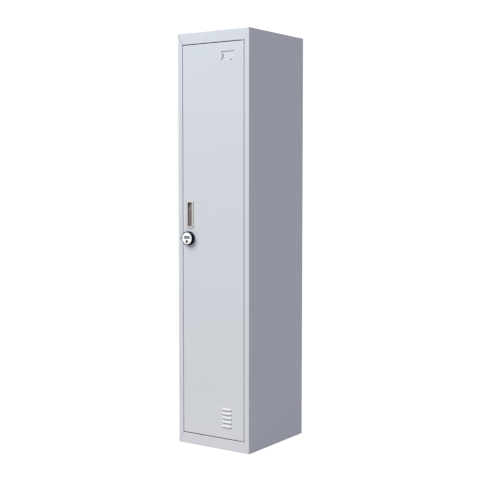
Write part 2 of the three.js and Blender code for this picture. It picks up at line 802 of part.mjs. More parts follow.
// The round grip: a turned body with a bevelled front edge and finger flutes round its rim.
function knobBody() {
  const rim = FACE + 0.4;
  const profile = [
    [0, DISC + FACE_THICK + 0.1],
    [FACE_RADIUS + 0.2, DISC + FACE_THICK + 0.1],
    [FACE_RADIUS + 0.2, rim],
    [LOCK_RADIUS - 3.4, rim],
    [LOCK_RADIUS - 1.2, FACE + 1.6],
    [LOCK_RADIUS, FACE + 3.4],
    [LOCK_RADIUS, KNOB_BACK - 1],
    [LOCK_RADIUS - 1, KNOB_BACK],
    [0, KNOB_BACK],
  ];
  const lathe = new THREE.LatheGeometry(
    profile.map(([r, y]) => new THREE.Vector2(r, y)),
    64,
  );
  let body = solid(lathe.translate(LOCK_X, 0, LOCK_Z));
  const side = LOCK_X - LOCK_RADIUS;
  const nub = rod("x", FACE + 4.4, LOCK_Z, 2.4, side - 5.2, side + 2, 16);
  for (let i = 0; i < KNOB_GRIPS; i++) {
    const turn = (2 * Math.PI * (i + 0.5)) / KNOB_GRIPS;
    const reach = LOCK_RADIUS + 1.6;
    body = body.subtract(
      rod(
        "y",
        LOCK_X + reach * Math.cos(turn),
        LOCK_Z + reach * Math.sin(turn),
        3.2,
        FACE - 1,
        KNOB_BACK - 2,
        16,
      ),
    );
  }
  body = body.add(nub);
  const axleHole = rod("x", WHEEL_Y, WHEEL_Z, 1.45, LOCK_X - 19, LOCK_X + 19, 16);
  const keyHole = rod("y", LOCK_X, KEY_Z, KEY_RADIUS + 0.25, FACE - 1, KNOB_BACK - 1, 32);
  return cut(body, window(FACE - 1, KNOB_BACK + 1), axleHole, keyHole);
}

function knobFace() {
  const disc = rod("y", LOCK_X, LOCK_Z, FACE_RADIUS, DISC, DISC + FACE_THICK, 64);
  const keyHole = rod("y", LOCK_X, KEY_Z, KEY_RADIUS + 0.25, FACE - 1, FRONT, 32);
  return cut(disc, window(FACE - 1, FRONT), keyHole);
}

function digitWheel(index) {
  const x = LOCK_X + (index - (WHEEL_COUNT - 1) / 2) * WHEEL_PITCH;
  return cut(
    rod("x", WHEEL_Y, WHEEL_Z, WHEEL_RADIUS, x - WHEEL_WIDTH / 2, x + WHEEL_WIDTH / 2, 30),
    rod("x", WHEEL_Y, WHEEL_Z, 1.6, x - WHEEL_WIDTH, x + WHEEL_WIDTH, 16),
  );
}

function wheelAxle() {
  return rod("x", WHEEL_Y, WHEEL_Z, 1.3, LOCK_X - 18, LOCK_X + 18, 16);
}

function keyPlug() {
  const barrel = rod("y", LOCK_X, KEY_Z, KEY_RADIUS, FACE, KNOB_BACK - 1.5, 32);
  const keyway = box(LOCK_X - 1, LOCK_X + 1, FACE - 1, FACE + 8, KEY_Z - 3.8, KEY_Z + 3.8);
  return cut(barrel, keyway);
}

function lockBase() {
  return cut(
    join(
      rod("y", LOCK_X, LOCK_Z, LOCK_RADIUS - 1, BASE_FRONT, FRONT - 0.15, 64),
      rod("y", LOCK_X, LOCK_Z, 9.4, FRONT - 1, FRONT + 17, 32),
    ),
    rod("y", LOCK_X, LOCK_Z, 13, BASE_FRONT - 1, BASE_FRONT + 1.9, 32),
    rod("y", LOCK_X, LOCK_Z, SPINDLE_RADIUS + 0.2, FRONT - 5, FRONT + 20, 32),
  );
}

function lockSpindle() {
  const end = CAM_Y + CAM_THICK - 0.2;
  const square = 4;
  return cut(
    join(
      rod("y", LOCK_X, LOCK_Z, 12.5, BASE_FRONT - 0.1, BASE_FRONT + 1.6, 32),
      rod("y", LOCK_X, LOCK_Z, SPINDLE_RADIUS, BASE_FRONT + 1, CAM_Y - GAP, 32),
      box(LOCK_X - square, LOCK_X + square, CAM_Y - 2, end, LOCK_Z - square, LOCK_Z + square),
    ),
    rod("y", LOCK_X, LOCK_Z, 2.2, FRONT + 16, end + 1, 16),
  );
}

function lockWasher() {
  return cut(
    rod("y", LOCK_X, LOCK_Z, 13.5, FRONT + SHEET + 0.15, FRONT + 1.9, 32),
    rod("y", LOCK_X, LOCK_Z, 9.7, FRONT, FRONT + 3, 32),
  );
}

function lockNut() {
  return cut(
    rod("y", LOCK_X, LOCK_Z, 14.4, FRONT + 2.1, FRONT + 6.6, 6),
    rod("y", LOCK_X, LOCK_Z, 9.65, FRONT + 1, FRONT + 8, 32),
  );
}

// The cam hangs down while the lock is open, and a quarter turn swings it behind the door stop.
function lockCam() {
  const shape = new THREE.Shape();
  shape.absarc(LOCK_X, LOCK_Z, 9.5, 0, Math.PI);
  shape.lineTo(LOCK_X - 7, LOCK_Z - CAM_REACH + 7);
  shape.absarc(LOCK_X, LOCK_Z - CAM_REACH + 7, 7, Math.PI, 2 * Math.PI);
  const hole = 4.25;
  return cut(
    extrude(shape, "y", CAM_Y, CAM_Y + CAM_THICK, 10),
    box(LOCK_X - hole, LOCK_X + hole, CAM_Y - 1, CAM_Y + 5, LOCK_Z - hole, LOCK_Z + hole),
  );
}

function camScrew() {
  const seat = CAM_Y + CAM_THICK + 0.15;
  return cut(
    join(
      rod("y", LOCK_X, LOCK_Z, 6.5, seat, seat + 2.6),
      rod("y", LOCK_X, LOCK_Z, 2, FRONT + 17, seat + 1, 16),
    ),
    box(LOCK_X - 4, LOCK_X + 4, seat + 1.4, seat + 4, LOCK_Z - 0.6, LOCK_Z + 0.6),
    box(LOCK_X - 0.6, LOCK_X + 0.6, seat + 1.4, seat + 4, LOCK_Z - 4, LOCK_Z + 4),
  );
}

// The wear plate behind the left door stop, where the cam bears.
function strikePlate() {
  const x0 = LEFT + STILE + 1.5;
  const y0 = FRONT + REBATE + SHEET + 0.2;
  return box(x0, x0 + STOP_LIP - 2, y0, y0 + 0.7, LOCK_Z - 30, LOCK_Z + 30);
}

// ---------------------------------------------------------------- assembly
const locker = new THREE.Group();

locker.add(
  piece("left_side_panel", sidePanel(-1), paint),
  piece("right_side_panel", sidePanel(1), paint),
  piece("back_panel", backPanel(), paint),
  piece("roof_panel", roofPanel(), paint),
  piece("floor_panel", floorPanel(), paint),
);

const SIDES = [
  [-1, "left"],
  [1, "right"],
];
const ROWS = ["front", "rear"];
for (const [side, sideName] of SIDES) {
  ROWS.forEach((rowName, i) => {
    const place = rowName + "_" + sideName;
    locker.add(
      piece("glide_" + place, glide(side, GLIDE_ROWS[i]), blackRubber),
      piece("shelf_bracket_" + place, shelfBracket(side, SCREW_ROWS[i]), paint),
      piece("shelf_screw_" + place, shelfScrew(side, SCREW_ROWS[i]), zinc),
      piece("shelf_nut_" + place, shelfNut(side, SCREW_ROWS[i]), zinc),
    );
  });
  locker.add(piece("rail_bracket_" + sideName, railBracket(side), zinc));
}
locker.add(piece("hat_shelf", hatShelf(), paint), piece("coat_rail", coatRail(), chrome));

locker.add(
  piece("hinge_plate_upper", hingePlate(OPENING_TOP + SHEET + GAP, OPENING_TOP + SHEET + 2.5, 4.2), zinc),
  piece("hinge_plate_lower", hingePlate(RAIL - SHEET - 2.5, RAIL - SHEET - GAP, 3.3), zinc),
  piece(
    "frame_bush_upper",
    bush(BOLT_RADIUS + 0.2, 4, OPENING_TOP - 1.3, OPENING_TOP + 4, OPENING_TOP - 1.3, OPENING_TOP - 0.2),
    whiteNylon,
  ),
  piece("pivot_pin_lower", pivotPin(), zinc),
  piece("pivot_washer_lower", pivotWasher(), whiteNylon),
  piece("strike_plate", strikePlate(), zinc),
);
[380, 1150, 1620].forEach((z, i) => {
  locker.add(piece("door_bumper_" + (i + 1), doorBumper(z), blackRubber));
});

locker.add(
  piece("door_skin", doorSkin(), paint),
  piece("door_stiffener", doorStiffener(), paint),
  piece("pull_handle", pullHandle(), beigePlastic),
  piece("pull_retainer", pullRetainer(), zinc),
  piece(
    "door_bush_upper",
    bush(BOLT_RADIUS + 0.2, 4, DOOR_TOP - 4, DOOR_TOP + 1.3, DOOR_TOP + 0.15, DOOR_TOP + 1.3),
    whiteNylon,
  ),
  piece(
    "door_bush_lower",
    bush(3.15, 4, DOOR_BOTTOM - 1.4, DOOR_BOTTOM + 6, DOOR_BOTTOM - 1.4, DOOR_BOTTOM - 0.15),
    whiteNylon,
  ),
  piece("bolt_bracket", boltBracket(), zinc),
  piece("bolt_spring", boltSpring(), zinc),
  piece("pivot_bolt", pivotBolt(), zinc),
);

locker.add(
  piece("lock_base", lockBase(), blackPlastic),
  piece("lock_washer", lockWasher(), zinc),
  piece("lock_nut", lockNut(), zinc),
  piece("knob_body", knobBody(), blackPlastic),
  piece("knob_face", knobFace(), satinSteel),
  piece("wheel_axle", wheelAxle(), zinc),
  piece("lock_spindle", lockSpindle(), zinc),
  piece("lock_cam", lockCam(), zinc),
  piece("cam_screw", camScrew(), zinc),
  piece("key_plug", keyPlug(), brass),
);
for (let i = 0; i < WHEEL_COUNT; i++) {
  locker.add(piece("digit_wheel_" + (i + 1), digitWheel(i), wheelPlastic));
}

export default locker;
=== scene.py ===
"""A tall single-door steel locker in light grey baked paint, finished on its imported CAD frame.

The door skin, the recessed pull and the combination lock are surfaces worked out here. Every other
piece is its CAD node with softened folds and its own finish. Shapes are in millimetres until they
become meshes.
"""
import math

import bpy
import numpy as np
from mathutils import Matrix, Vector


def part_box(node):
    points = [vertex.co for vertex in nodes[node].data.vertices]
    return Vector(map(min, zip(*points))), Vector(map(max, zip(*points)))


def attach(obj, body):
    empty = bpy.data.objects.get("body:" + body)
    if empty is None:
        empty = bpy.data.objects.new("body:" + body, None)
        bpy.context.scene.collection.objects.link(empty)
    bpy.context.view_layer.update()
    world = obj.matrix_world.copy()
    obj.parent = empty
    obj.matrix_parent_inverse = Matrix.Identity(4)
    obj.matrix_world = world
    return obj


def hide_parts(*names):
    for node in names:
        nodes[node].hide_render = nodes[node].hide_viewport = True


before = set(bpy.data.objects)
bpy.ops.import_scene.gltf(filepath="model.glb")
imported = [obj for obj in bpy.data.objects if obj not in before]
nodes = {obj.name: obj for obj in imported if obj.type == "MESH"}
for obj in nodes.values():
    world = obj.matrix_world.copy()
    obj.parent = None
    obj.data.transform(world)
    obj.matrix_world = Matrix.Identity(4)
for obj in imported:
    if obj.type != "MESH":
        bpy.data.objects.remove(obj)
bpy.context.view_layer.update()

MM = 0.001


def node_box(name):
    """Lowest and highest corner of a CAD node, in millimetres."""
    low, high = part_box(name)
    return np.array(low) / MM, np.array(high) / MM


# ---------------------------------------------------------------- places taken from the frame
SKIN_LOW, SKIN_HIGH = node_box("door_skin")
FRONT = node_box("left_side_panel")[0][1]
PULL_LOW, PULL_HIGH = node_box("pull_handle")
KNOB_LOW, KNOB_HIGH = node_box("knob_body")
FACE_LOW, FACE_HIGH = node_box("knob_face")
PLUG_LOW, PLUG_HIGH = node_box("key_plug")

DOOR_LEFT, DOOR_RIGHT = SKIN_LOW[0], SKIN_HIGH[0]
DOOR_BOTTOM, DOOR_TOP = SKIN_LOW[2], SKIN_HIGH[2]
DOOR_BACK = SKIN_HIGH[1]
CARCASS_LEFT = node_box("left_side_panel")[0][0]

PULL_X = (PULL_LOW[0] + PULL_HIGH[0]) / 2
PULL_Z = (PULL_LOW[2] + PULL_HIGH[2]) / 2
LOCK_X = (FACE_LOW[0] + FACE_HIGH[0]) / 2
LOCK_Z = (KNOB_LOW[2] + KNOB_HIGH[2]) / 2
KNOB_RADIUS = (KNOB_HIGH[2] - KNOB_LOW[2]) / 2
FACE_RADIUS = (FACE_HIGH[0] - FACE_LOW[0]) / 2
FACE = PLUG_LOW[1]
DISC = FACE_LOW[1]
KEY_Z = (PLUG_LOW[2] + PLUG_HIGH[2]) / 2
KEY_RADIUS = (PLUG_HIGH[0] - PLUG_LOW[0]) / 2


# ---------------------------------------------------------------- surfaces to meshes
PLACES_PER_MM = 1e4


def merge(points):
    """The points with those that coincide merged, and where each given point went."""
    places = np.round(points * PLACES_PER_MM).astype(np.int64)
    _, first, merged = np.unique(places, axis=0, return_index=True, return_inverse=True)
    return points[first], merged.reshape(-1)


def surface(points, closed_rows=False, closed_columns=False, drop=None, finish=0):
    """Faces between neighbouring rows and columns of a (rows, columns, 3) array.

    Points that coincide are merged, so a row that has shrunk to one point closes into a pole. drop
    marks the faces to leave open.
    """
    corners, merged = merge(points.reshape(-1, 3))
    index = merged.reshape(points.shape[:2])
    if closed_rows:
        index = np.vstack([index, index[:1]])
    if closed_columns:
        index = np.hstack([index, index[:, :1]])
    quads = np.stack([index[:-1, :-1], index[:-1, 1:], index[1:, 1:], index[1:, :-1]], -1)
    quads = quads.reshape(-1, 4)
    if drop is not None:
        quads = quads[~drop.reshape(-1)]
    collapsed = quads == np.roll(quads, -1, axis=1)
    whole = quads[~collapsed.any(1)]
    pinched = quads[collapsed.sum(1) == 1]
    kept = ~collapsed[collapsed.sum(1) == 1]
    triangles = pinched[kept].reshape(-1, 3)
    return corners, [*whole.tolist(), *triangles.tolist()], finish


def flipped(part):
    """The same surface facing the other way."""
    points, faces, finish = part
    return points, [face[::-1] for face in faces], finish


def weld(parts):
    """Several surfaces of one finish as one, with the points on their common edges merged."""
    corners, merged = merge(np.vstack([part[0] for part in parts]))
    faces, start = [], 0
    for points, part_faces, _ in parts:
        faces += [merged[np.array(face) + start].tolist() for face in part_faces]
        start += len(points)
    return corners, faces, parts[0][2]


def piece(name, parts, finishes, body, stands_for=(), crease=35.0, wall=0.0):
    """One object made of several surfaces, riding on a body, with smooth faces between creases."""
    corners, faces, finish_of = [], [], []
    start = 0
    for points, part_faces, finish in parts:
        corners.append(points)
        faces += [[i + start for i in face] for face in part_faces]
        finish_of += [finish] * len(part_faces)
        start += len(points)
    mesh = bpy.data.meshes.new(name)
    mesh.from_pydata((np.vstack(corners) * MM).tolist(), [], faces)
    for material in finishes:
        mesh.materials.append(material)
    mesh.polygons.foreach_set("material_index", finish_of)
    mesh.shade_smooth()
    mesh.set_sharp_from_angle(angle=math.radians(crease))
    mesh.validate()
    mesh.update()
    made = bpy.data.objects.new(name, mesh)
    bpy.context.scene.collection.objects.link(made)
    if wall:
        thickness = made.modifiers.new("sheet gauge", "SOLIDIFY")
        thickness.thickness = wall * MM
        thickness.offset = -1
        thickness.use_even_offset = False
    evened = made.modifiers.new("even shading", "WEIGHTED_NORMAL")
    evened.keep_sharp = True
    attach(made, body)
    if stands_for:
        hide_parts(*stands_for)
    return made


def rounded_loop(cx, cz, width, height, radius, y, steps, between):
    """A rounded rectangle in the plane y, anticlockwise as the door is faced.

    Each corner is a quarter circle of some steps about a centre one radius in from both edges, so a
    square whose radius is half its width is a full circle, and a loop of no size is one point. Each
    straight side takes some points in between.
    """
    quarter = np.linspace(0, math.pi / 2, steps)
    turns = np.concatenate([quarter + k * math.pi / 2 for k in range(4)])
    corner = np.repeat([[1, 1], [-1, 1], [-1, -1], [1, -1]], steps, axis=0)
    x = cx + corner[:, 0] * (width / 2 - radius) + radius * np.cos(turns)
    z = cz + corner[:, 1] * (height / 2 - radius) + radius * np.sin(turns)
    arcs = np.stack([x, np.full_like(x, y), z], -1).reshape(4, steps, 3)
    sides = np.linspace(arcs[:, -1], np.roll(arcs[:, 0], -1, axis=0), between + 2, axis=1)[:, 1:-1]
    return np.concatenate([arcs, sides], axis=1).reshape(-1, 3)


def loft(sections, closed=False, finish=0, steps=12, between=0):
    """A surface through a list of rounded loops, each (cx, cz, width, height, radius, y)."""
    rows = np.stack([rounded_loop(*section, steps, between) for section in sections])
    return surface(rows, closed_rows=closed, closed_columns=True, finish=finish)


# ---------------------------------------------------------------- node helpers
class Graph:
    """A node tree that is filled by naming each node's kind, inputs and settings."""

    def __init__(self, tree):
        self.tree = tree
        tree.nodes.clear()

    def add(self, kind, inputs=None, **settings):
        made = self.tree.nodes.new(kind)
        for key, value in settings.items():
            setattr(made, key, value)
        for key, value in (inputs or {}).items():
            if isinstance(value, bpy.types.NodeSocket):
                self.tree.links.new(value, made.inputs[key])
            else:
                made.inputs[key].default_value = value
        return made

    def math(self, operation, a, b=0.0, clamp=False):
        made = self.add("ShaderNodeMath", {0: a, 1: b}, operation=operation, use_clamp=clamp)
        return made.outputs[0]

    def noise(self, vector, scale, detail=2.0, roughness=0.5):
        made = self.add(
            "ShaderNodeTexNoise",
            {"Vector": vector, "Scale": scale, "Detail": detail, "Roughness": roughness},
        )
        return made.outputs["Fac"]

    def stretch(self, value, low, high, to_low=0.0, to_high=1.0):
        made = self.add(
            "ShaderNodeMapRange",
            {
                "Value": value,
                "From Min": low,
                "From Max": high,
                "To Min": to_low,
                "To Max": to_high,
            },
        )
        return made.outputs["Result"]

    def blend(self, factor, a, b):
        made = self.add("ShaderNodeMix", {0: factor, 6: a, 7: b}, data_type="RGBA")
        return made.outputs[2]


def effect(name, inputs, outputs):
    """An empty shader group with named inputs and outputs, for an effect that finishes share."""
    tree = bpy.data.node_groups.new(name, "ShaderNodeTree")
    graph = Graph(tree)
    for label, kind, value in inputs:
        socket = tree.interface.new_socket(label, in_out="INPUT", socket_type=kind)
        socket.default_value = value
    for label, kind in outputs:
        tree.interface.new_socket(label, in_out="OUTPUT", socket_type=kind)
    return graph, graph.add("NodeGroupInput").outputs


FLOAT, COLOUR = "NodeSocketFloat", "NodeSocketColor"


def make_grain():
    """Fine surface texture: two noises, one about four times finer, added as a height."""
    graph, given = effect(
        "fine_grain",
        [("Scale", FLOAT, 800.0), ("Coarse part", FLOAT, 0.6)],
        [("Height", FLOAT)],
    )
    place = graph.add("ShaderNodeTexCoord").outputs["Object"]
    coarse = graph.noise(place, given["Scale"], 1.0)
    fine = graph.noise(place, graph.math("MULTIPLY", given["Scale"], 4.1), 2.0)
    mixed = graph.add(
        "ShaderNodeMix", {0: given["Coarse part"], 2: fine, 3: coarse}, data_type="FLOAT"
    )
    graph.add("NodeGroupOutput", {"Height": mixed.outputs[0]})
    return graph.tree


def make_tone_drift():
    """Slow, faint changes of tone: the colour is scaled up or down by a wide noise."""
    graph, given = effect(
        "tone_drift",
        [("Colour", COLOUR, (0.8, 0.8, 0.8, 1)), ("Scale", FLOAT, 3.0), ("Amount", FLOAT, 0.03)],
        [("Colour", COLOUR), ("Drift", FLOAT)],
    )
    place = graph.add("ShaderNodeTexCoord").outputs["Object"]
    drift = graph.stretch(graph.noise(place, given["Scale"], 3.0), 0.3, 0.7, -1.0, 1.0)
    gain = graph.math("ADD", graph.math("MULTIPLY", drift, given["Amount"]), 1.0)
    scaled = graph.add(
        "ShaderNodeVectorMath", {0: given["Colour"], "Scale": gain}, operation="SCALE"
    )
    graph.add("NodeGroupOutput", {"Colour": scaled.outputs[0], "Drift": drift})
    return graph.tree


def make_edge_rub():
    """Where edges get rubbed: the true normal against one rounded over a small radius.

    The mask is broken up by noise.
    """
    graph, given = effect(
        "edge_rub",
        [("Radius", FLOAT, 0.0006), ("Amount", FLOAT, 1.0)],
        [("Mask", FLOAT)],
    )
    place = graph.add("ShaderNodeTexCoord").outputs["Object"]
    rounded = graph.add("ShaderNodeBevel", {"Radius": given["Radius"]}, samples=4).outputs[0]
    flat = graph.add("ShaderNodeNewGeometry").outputs["Normal"]
    along = graph.add("ShaderNodeVectorMath", {0: rounded, 1: flat}, operation="DOT_PRODUCT")
    edge = graph.stretch(along.outputs["Value"], 0.98, 0.8)
    broken = graph.stretch(graph.noise(place, 90.0, 4.0, 0.65), 0.38, 0.62)
    mask = graph.math("MULTIPLY", graph.math("MULTIPLY", edge, broken), given["Amount"], True)
    graph.add("NodeGroupOutput", {"Mask": mask})
    return graph.tree


def make_settled_dust():
    """Dust that lies on upward faces, in soft patches."""
    graph, given = effect("settled_dust", [("Amount", FLOAT, 0.3)], [("Mask", FLOAT)])
    place = graph.add("ShaderNodeTexCoord").outputs["Object"]
    normal = graph.add("ShaderNodeNewGeometry").outputs["Normal"]
    facing = graph.add("ShaderNodeSeparateXYZ", {0: normal})
    upward = graph.stretch(facing.outputs["Z"], 0.75, 0.98)
    patches = graph.stretch(graph.noise(place, 14.0, 5.0, 0.6), 0.35, 0.75)
    mask = graph.math("MULTIPLY", graph.math("MULTIPLY", upward, patches), given["Amount"], True)
    graph.add("NodeGroupOutput", {"Mask": mask})
    return graph.tree


def make_drawn_lines():
    """Fine lines drawn along one direction: noise squeezed across it and stretched along it."""
    graph, given = effect(
        "drawn_lines", [("Across", FLOAT, 2500.0), ("Along", FLOAT, 30.0)], [("Lines", FLOAT)]
    )
    place = graph.add("ShaderNodeTexCoord").outputs["Object"]
    squeeze = graph.add(
        "ShaderNodeCombineXYZ", {"X": given["Along"], "Y": given["Across"], "Z": given["Across"]}
    )
    moved = graph.add(
        "ShaderNodeVectorMath", {0: place, 1: squeeze.outputs[0]}, operation="MULTIPLY"
    )
    graph.add("NodeGroupOutput", {"Lines": graph.noise(moved.outputs[0], 1.0, 2.0)})
    return graph.tree


GRAIN = make_grain()
TONE_DRIFT = make_tone_drift()
EDGE_RUB = make_edge_rub()
SETTLED_DUST = make_settled_dust()
DRAWN_LINES = make_drawn_lines()


def use(graph, tree, **inputs):
    """A shared effect placed in a finish with its own values; underscores stand for spaces."""
    given = {key.replace("_", " "): value for key, value in inputs.items()}
    return graph.add("ShaderNodeGroup", given, node_tree=tree).outputs


def new_finish(name, **fixed):
    """A material with one Principled shader whose constant values are set on its own sockets."""
    material = bpy.data.materials.new(name)
    material.use_nodes = True
    graph = Graph(material.node_tree)
    shader = graph.add("ShaderNodeBsdfPrincipled")
    for key, value in fixed.items():
        shader.inputs[key.replace("_", " ")].default_value = value
    graph.add("ShaderNodeOutputMaterial", {"Surface": shader.outputs[0]})
    return material, graph, shader.inputs


def bump(graph, shader, height, depth, strength):
    made = graph.add("ShaderNodeBump", {"Height": height, "Distance": depth, "Strength": strength})
    graph.tree.links.new(made.outputs[0], shader["Normal"])


def plug_in(graph, shader, socket, value):
    graph.tree.links.new(value, shader[socket])


# ---------------------------------------------------------------- finishes
def baked_paint(name, colour):
    """Baked enamel on sheet steel: faint orange peel, tone drift, rubbed edges, settled dust."""
    material, graph, shader = new_finish(
        name, Specular_IOR_Level=0.5, Coat_Weight=0.12, Coat_Roughness=0.25
    )
    tone = use(graph, TONE_DRIFT, Colour=colour, Scale=2.2, Amount=0.012)
    rub = use(graph, EDGE_RUB, Radius=0.0005, Amount=0.35)["Mask"]
    settled = use(graph, SETTLED_DUST, Amount=0.25)["Mask"]
    rubbed = graph.blend(rub, tone["Colour"], (0.74, 0.74, 0.76, 1))
    dusty = graph.blend(settled, rubbed, (0.56, 0.54, 0.51, 1))
    plug_in(graph, shader, "Base Color", dusty)
    sheen = graph.stretch(tone["Drift"], -1.0, 1.0, 0.40, 0.48)
    dulled = graph.math("MULTIPLY", settled, 0.35)
    plug_in(graph, shader, "Roughness", graph.math("ADD", sheen, dulled))
    peel = use(graph, GRAIN, Scale=420.0, Coarse_part=0.75)["Height"]
    bump(graph, shader, peel, 0.00003, 0.35)
    return material


def zinc_plate():
    """Bright zinc: cloudy crystals in tone and roughness over faint rolling lines."""
    material, graph, shader = new_finish("zinc_plate", Metallic=1.0)
    tone = use(graph, TONE_DRIFT, Colour=(0.62, 0.64, 0.67, 1), Scale=60.0, Amount=0.14)
    rub = use(graph, EDGE_RUB, Radius=0.0004, Amount=0.6)["Mask"]
    plug_in(graph, shader, "Base Color", graph.blend(rub, tone["Colour"], (0.80, 0.80, 0.80, 1)))
    plug_in(graph, shader, "Roughness", graph.stretch(tone["Drift"], -1.0, 1.0, 0.27, 0.42))
    lines = use(graph, DRAWN_LINES, Across=1800.0, Along=60.0)["Lines"]
    bump(graph, shader, lines, 0.00001, 0.4)
    return material


def chrome_plate():
    """Bright chrome on drawn tube: nearly mirror smooth, with hairline draw marks along it."""
    material, graph, shader = new_finish("chrome_plate", Metallic=1.0)
    tone = use(graph, TONE_DRIFT, Colour=(0.86, 0.87, 0.88, 1), Scale=25.0, Amount=0.02)
    plug_in(graph, shader, "Base Color", tone["Colour"])
    plug_in(graph, shader, "Roughness", graph.stretch(tone["Drift"], -1.0, 1.0, 0.07, 0.13))
    lines = use(graph, DRAWN_LINES, Across=3000.0, Along=6.0)["Lines"]
    bump(graph, shader, lines, 0.000004, 0.3)
    return material


def moulded_plastic(name, colour, rough, worn, wear, gloss=0.5):
    """Moulded plastic: a fine spark-eroded grain, slight tone drift and edges polished by hands."""
    material, graph, shader = new_finish(name, Specular_IOR_Level=gloss)
    tone = use(graph, TONE_DRIFT, Colour=colour, Scale=18.0, Amount=0.05)
    rub = use(graph, EDGE_RUB, Radius=0.0007, Amount=wear)["Mask"]
    plug_in(graph, shader, "Base Color", graph.blend(rub, tone["Colour"], worn))
    polished = graph.math("MULTIPLY", rub, 0.15)
    plug_in(graph, shader, "Roughness", graph.math("SUBTRACT", rough, polished))
    grain = use(graph, GRAIN, Scale=900.0, Coarse_part=0.4)["Height"]
    bump(graph, shader, grain, 0.00003, 0.5)
    return material


def enamelled_face():
    """The lock's face: white enamel over metal, very faintly brushed and rubbed at its rim."""
    material, graph, shader = new_finish("enamelled_face", Coat_Weight=0.6, Coat_Roughness=0.08)
    tone = use(graph, TONE_DRIFT, Colour=(0.93, 0.935, 0.94, 1), Scale=40.0, Amount=0.02)
    rub = use(graph, EDGE_RUB, Radius=0.0004, Amount=0.6)["Mask"]
    plug_in(graph, shader, "Base Color", graph.blend(rub, tone["Colour"], (0.66, 0.66, 0.67, 1)))
    plug_in(graph, shader, "Roughness", graph.stretch(tone["Drift"], -1.0, 1.0, 0.22, 0.30))
    lines = use(graph, DRAWN_LINES, Across=2600.0, Along=50.0)["Lines"]
    bump(graph, shader, lines, 0.000008, 0.3)
    return material


def dulled_brass():
    """Handled brass: brown tarnish in patches, brighter on the rubbed edges, with turning marks."""
    material, graph, shader = new_finish("dulled_brass", Metallic=1.0)
    tone = use(graph, TONE_DRIFT, Colour=(0.26, 0.17, 0.10, 1), Scale=260.0, Amount=0.3)
    rub = use(graph, EDGE_RUB, Radius=0.0004, Amount=0.9)["Mask"]
    plug_in(graph, shader, "Base Color", graph.blend(rub, tone["Colour"], (0.62, 0.47, 0.26, 1)))
    plug_in(graph, shader, "Roughness", graph.stretch(tone["Drift"], -1.0, 1.0, 0.34, 0.5))
    lines = use(graph, DRAWN_LINES, Across=2200.0, Along=300.0)["Lines"]
    bump(graph, shader, lines, 0.00002, 0.4)
    return material


def soft_rubber():
    """Moulded rubber: matt and slightly mottled."""
    material, graph, shader = new_finish("soft_rubber", Specular_IOR_Level=0.35)
    tone = use(graph, TONE_DRIFT, Colour=(0.028, 0.028, 0.03, 1), Scale=120.0, Amount=0.25)
    plug_in(graph, shader, "Base Color", tone["Colour"])
    plug_in(graph, shader, "Roughness", graph.stretch(tone["Drift"], -1.0, 1.0, 0.72, 0.88))
    bump(graph, shader, use(graph, GRAIN, Scale=1400.0, Coarse_part=0.5)["Height"], 0.00005, 0.6)
    return material


PAINT = baked_paint("grey_paint", (0.600, 0.606, 0.640, 1))
ZINC = zinc_plate()
CHROME = chrome_plate()
BEIGE = moulded_plastic(
    "beige_plastic", (0.60, 0.555, 0.52, 1), 0.42, (0.66, 0.62, 0.585, 1), 0.4
)
# The recess's dark taupe is painted shade: the moulding is beige, and this colour darkens its
# shallow, lit pocket.
RECESS_SHADE = moulded_plastic(
    "recess_painted_shade", (0.200, 0.167, 0.155, 1), 0.5, (0.27, 0.23, 0.21, 1), 0.4
)
BLACK = moulded_plastic(
    "black_plastic", (0.004, 0.005, 0.015, 1), 0.44, (0.016, 0.019, 0.032, 1), 0.5, gloss=0.06
)
NYLON = moulded_plastic(
    "white_nylon", (0.74, 0.73, 0.69, 1), 0.5, (0.80, 0.79, 0.76, 1), 0.3
)
WHEEL = moulded_plastic(
    "wheel_plastic", (0.15, 0.175, 0.27, 1), 0.35, (0.3, 0.33, 0.42, 1), 0.5
)
DIGIT_INK = moulded_plastic(
    "digit_ink", (0.78, 0.79, 0.80, 1), 0.5, (0.6, 0.6, 0.6, 1), 0.2
)
ENAMEL = enamelled_face()
BRASS = dulled_brass()
RUBBER = soft_rubber()


# ---------------------------------------------------------------- camera, floor and light
CAMERA_PLACE = (2.6191, -3.8293, 1.2148)
CAMERA_TIP = 3.595  # degrees below level
CAMERA_TURN = 34.392  # degrees to the left of looking along +Y
CAMERA_LENS = 75.852
SENSOR_WIDTH = 36

FILL_COLOUR = (0.863, 0.878, 1.0, 1)
FILL_STRENGTH = 0.504
SUN_COLOUR = (1.0, 0.988, 0.87)
SUN_STRENGTH = 2.74
SUN_SPREAD = 48
GLOW_COLOUR = (0.53, 0.77, 1.0)
GLOW_POWER = 8.6

WHITE = (1, 1, 1, 1)
ROOM_SEEN = 1.1
FLOOR_SEEN = 1.12
FLOOR_HALF = 30
FLOOR_GLOW = 0.9  # how much of the floor's look is its own even light


def place_camera():
    """The camera stands to the right of the door at chest height, tipped down a little."""
    camera = bpy.data.objects.new("camera", bpy.data.cameras.new("camera"))
    camera.location = CAMERA_PLACE
    camera.rotation_euler = (math.radians(90 - CAMERA_TIP), 0, math.radians(CAMERA_TURN))
    camera.data.sensor_width = SENSOR_WIDTH
    camera.data.lens = CAMERA_LENS
    camera.data.clip_end = 100
    bpy.context.scene.collection.objects.link(camera)
    bpy.context.scene.camera = camera


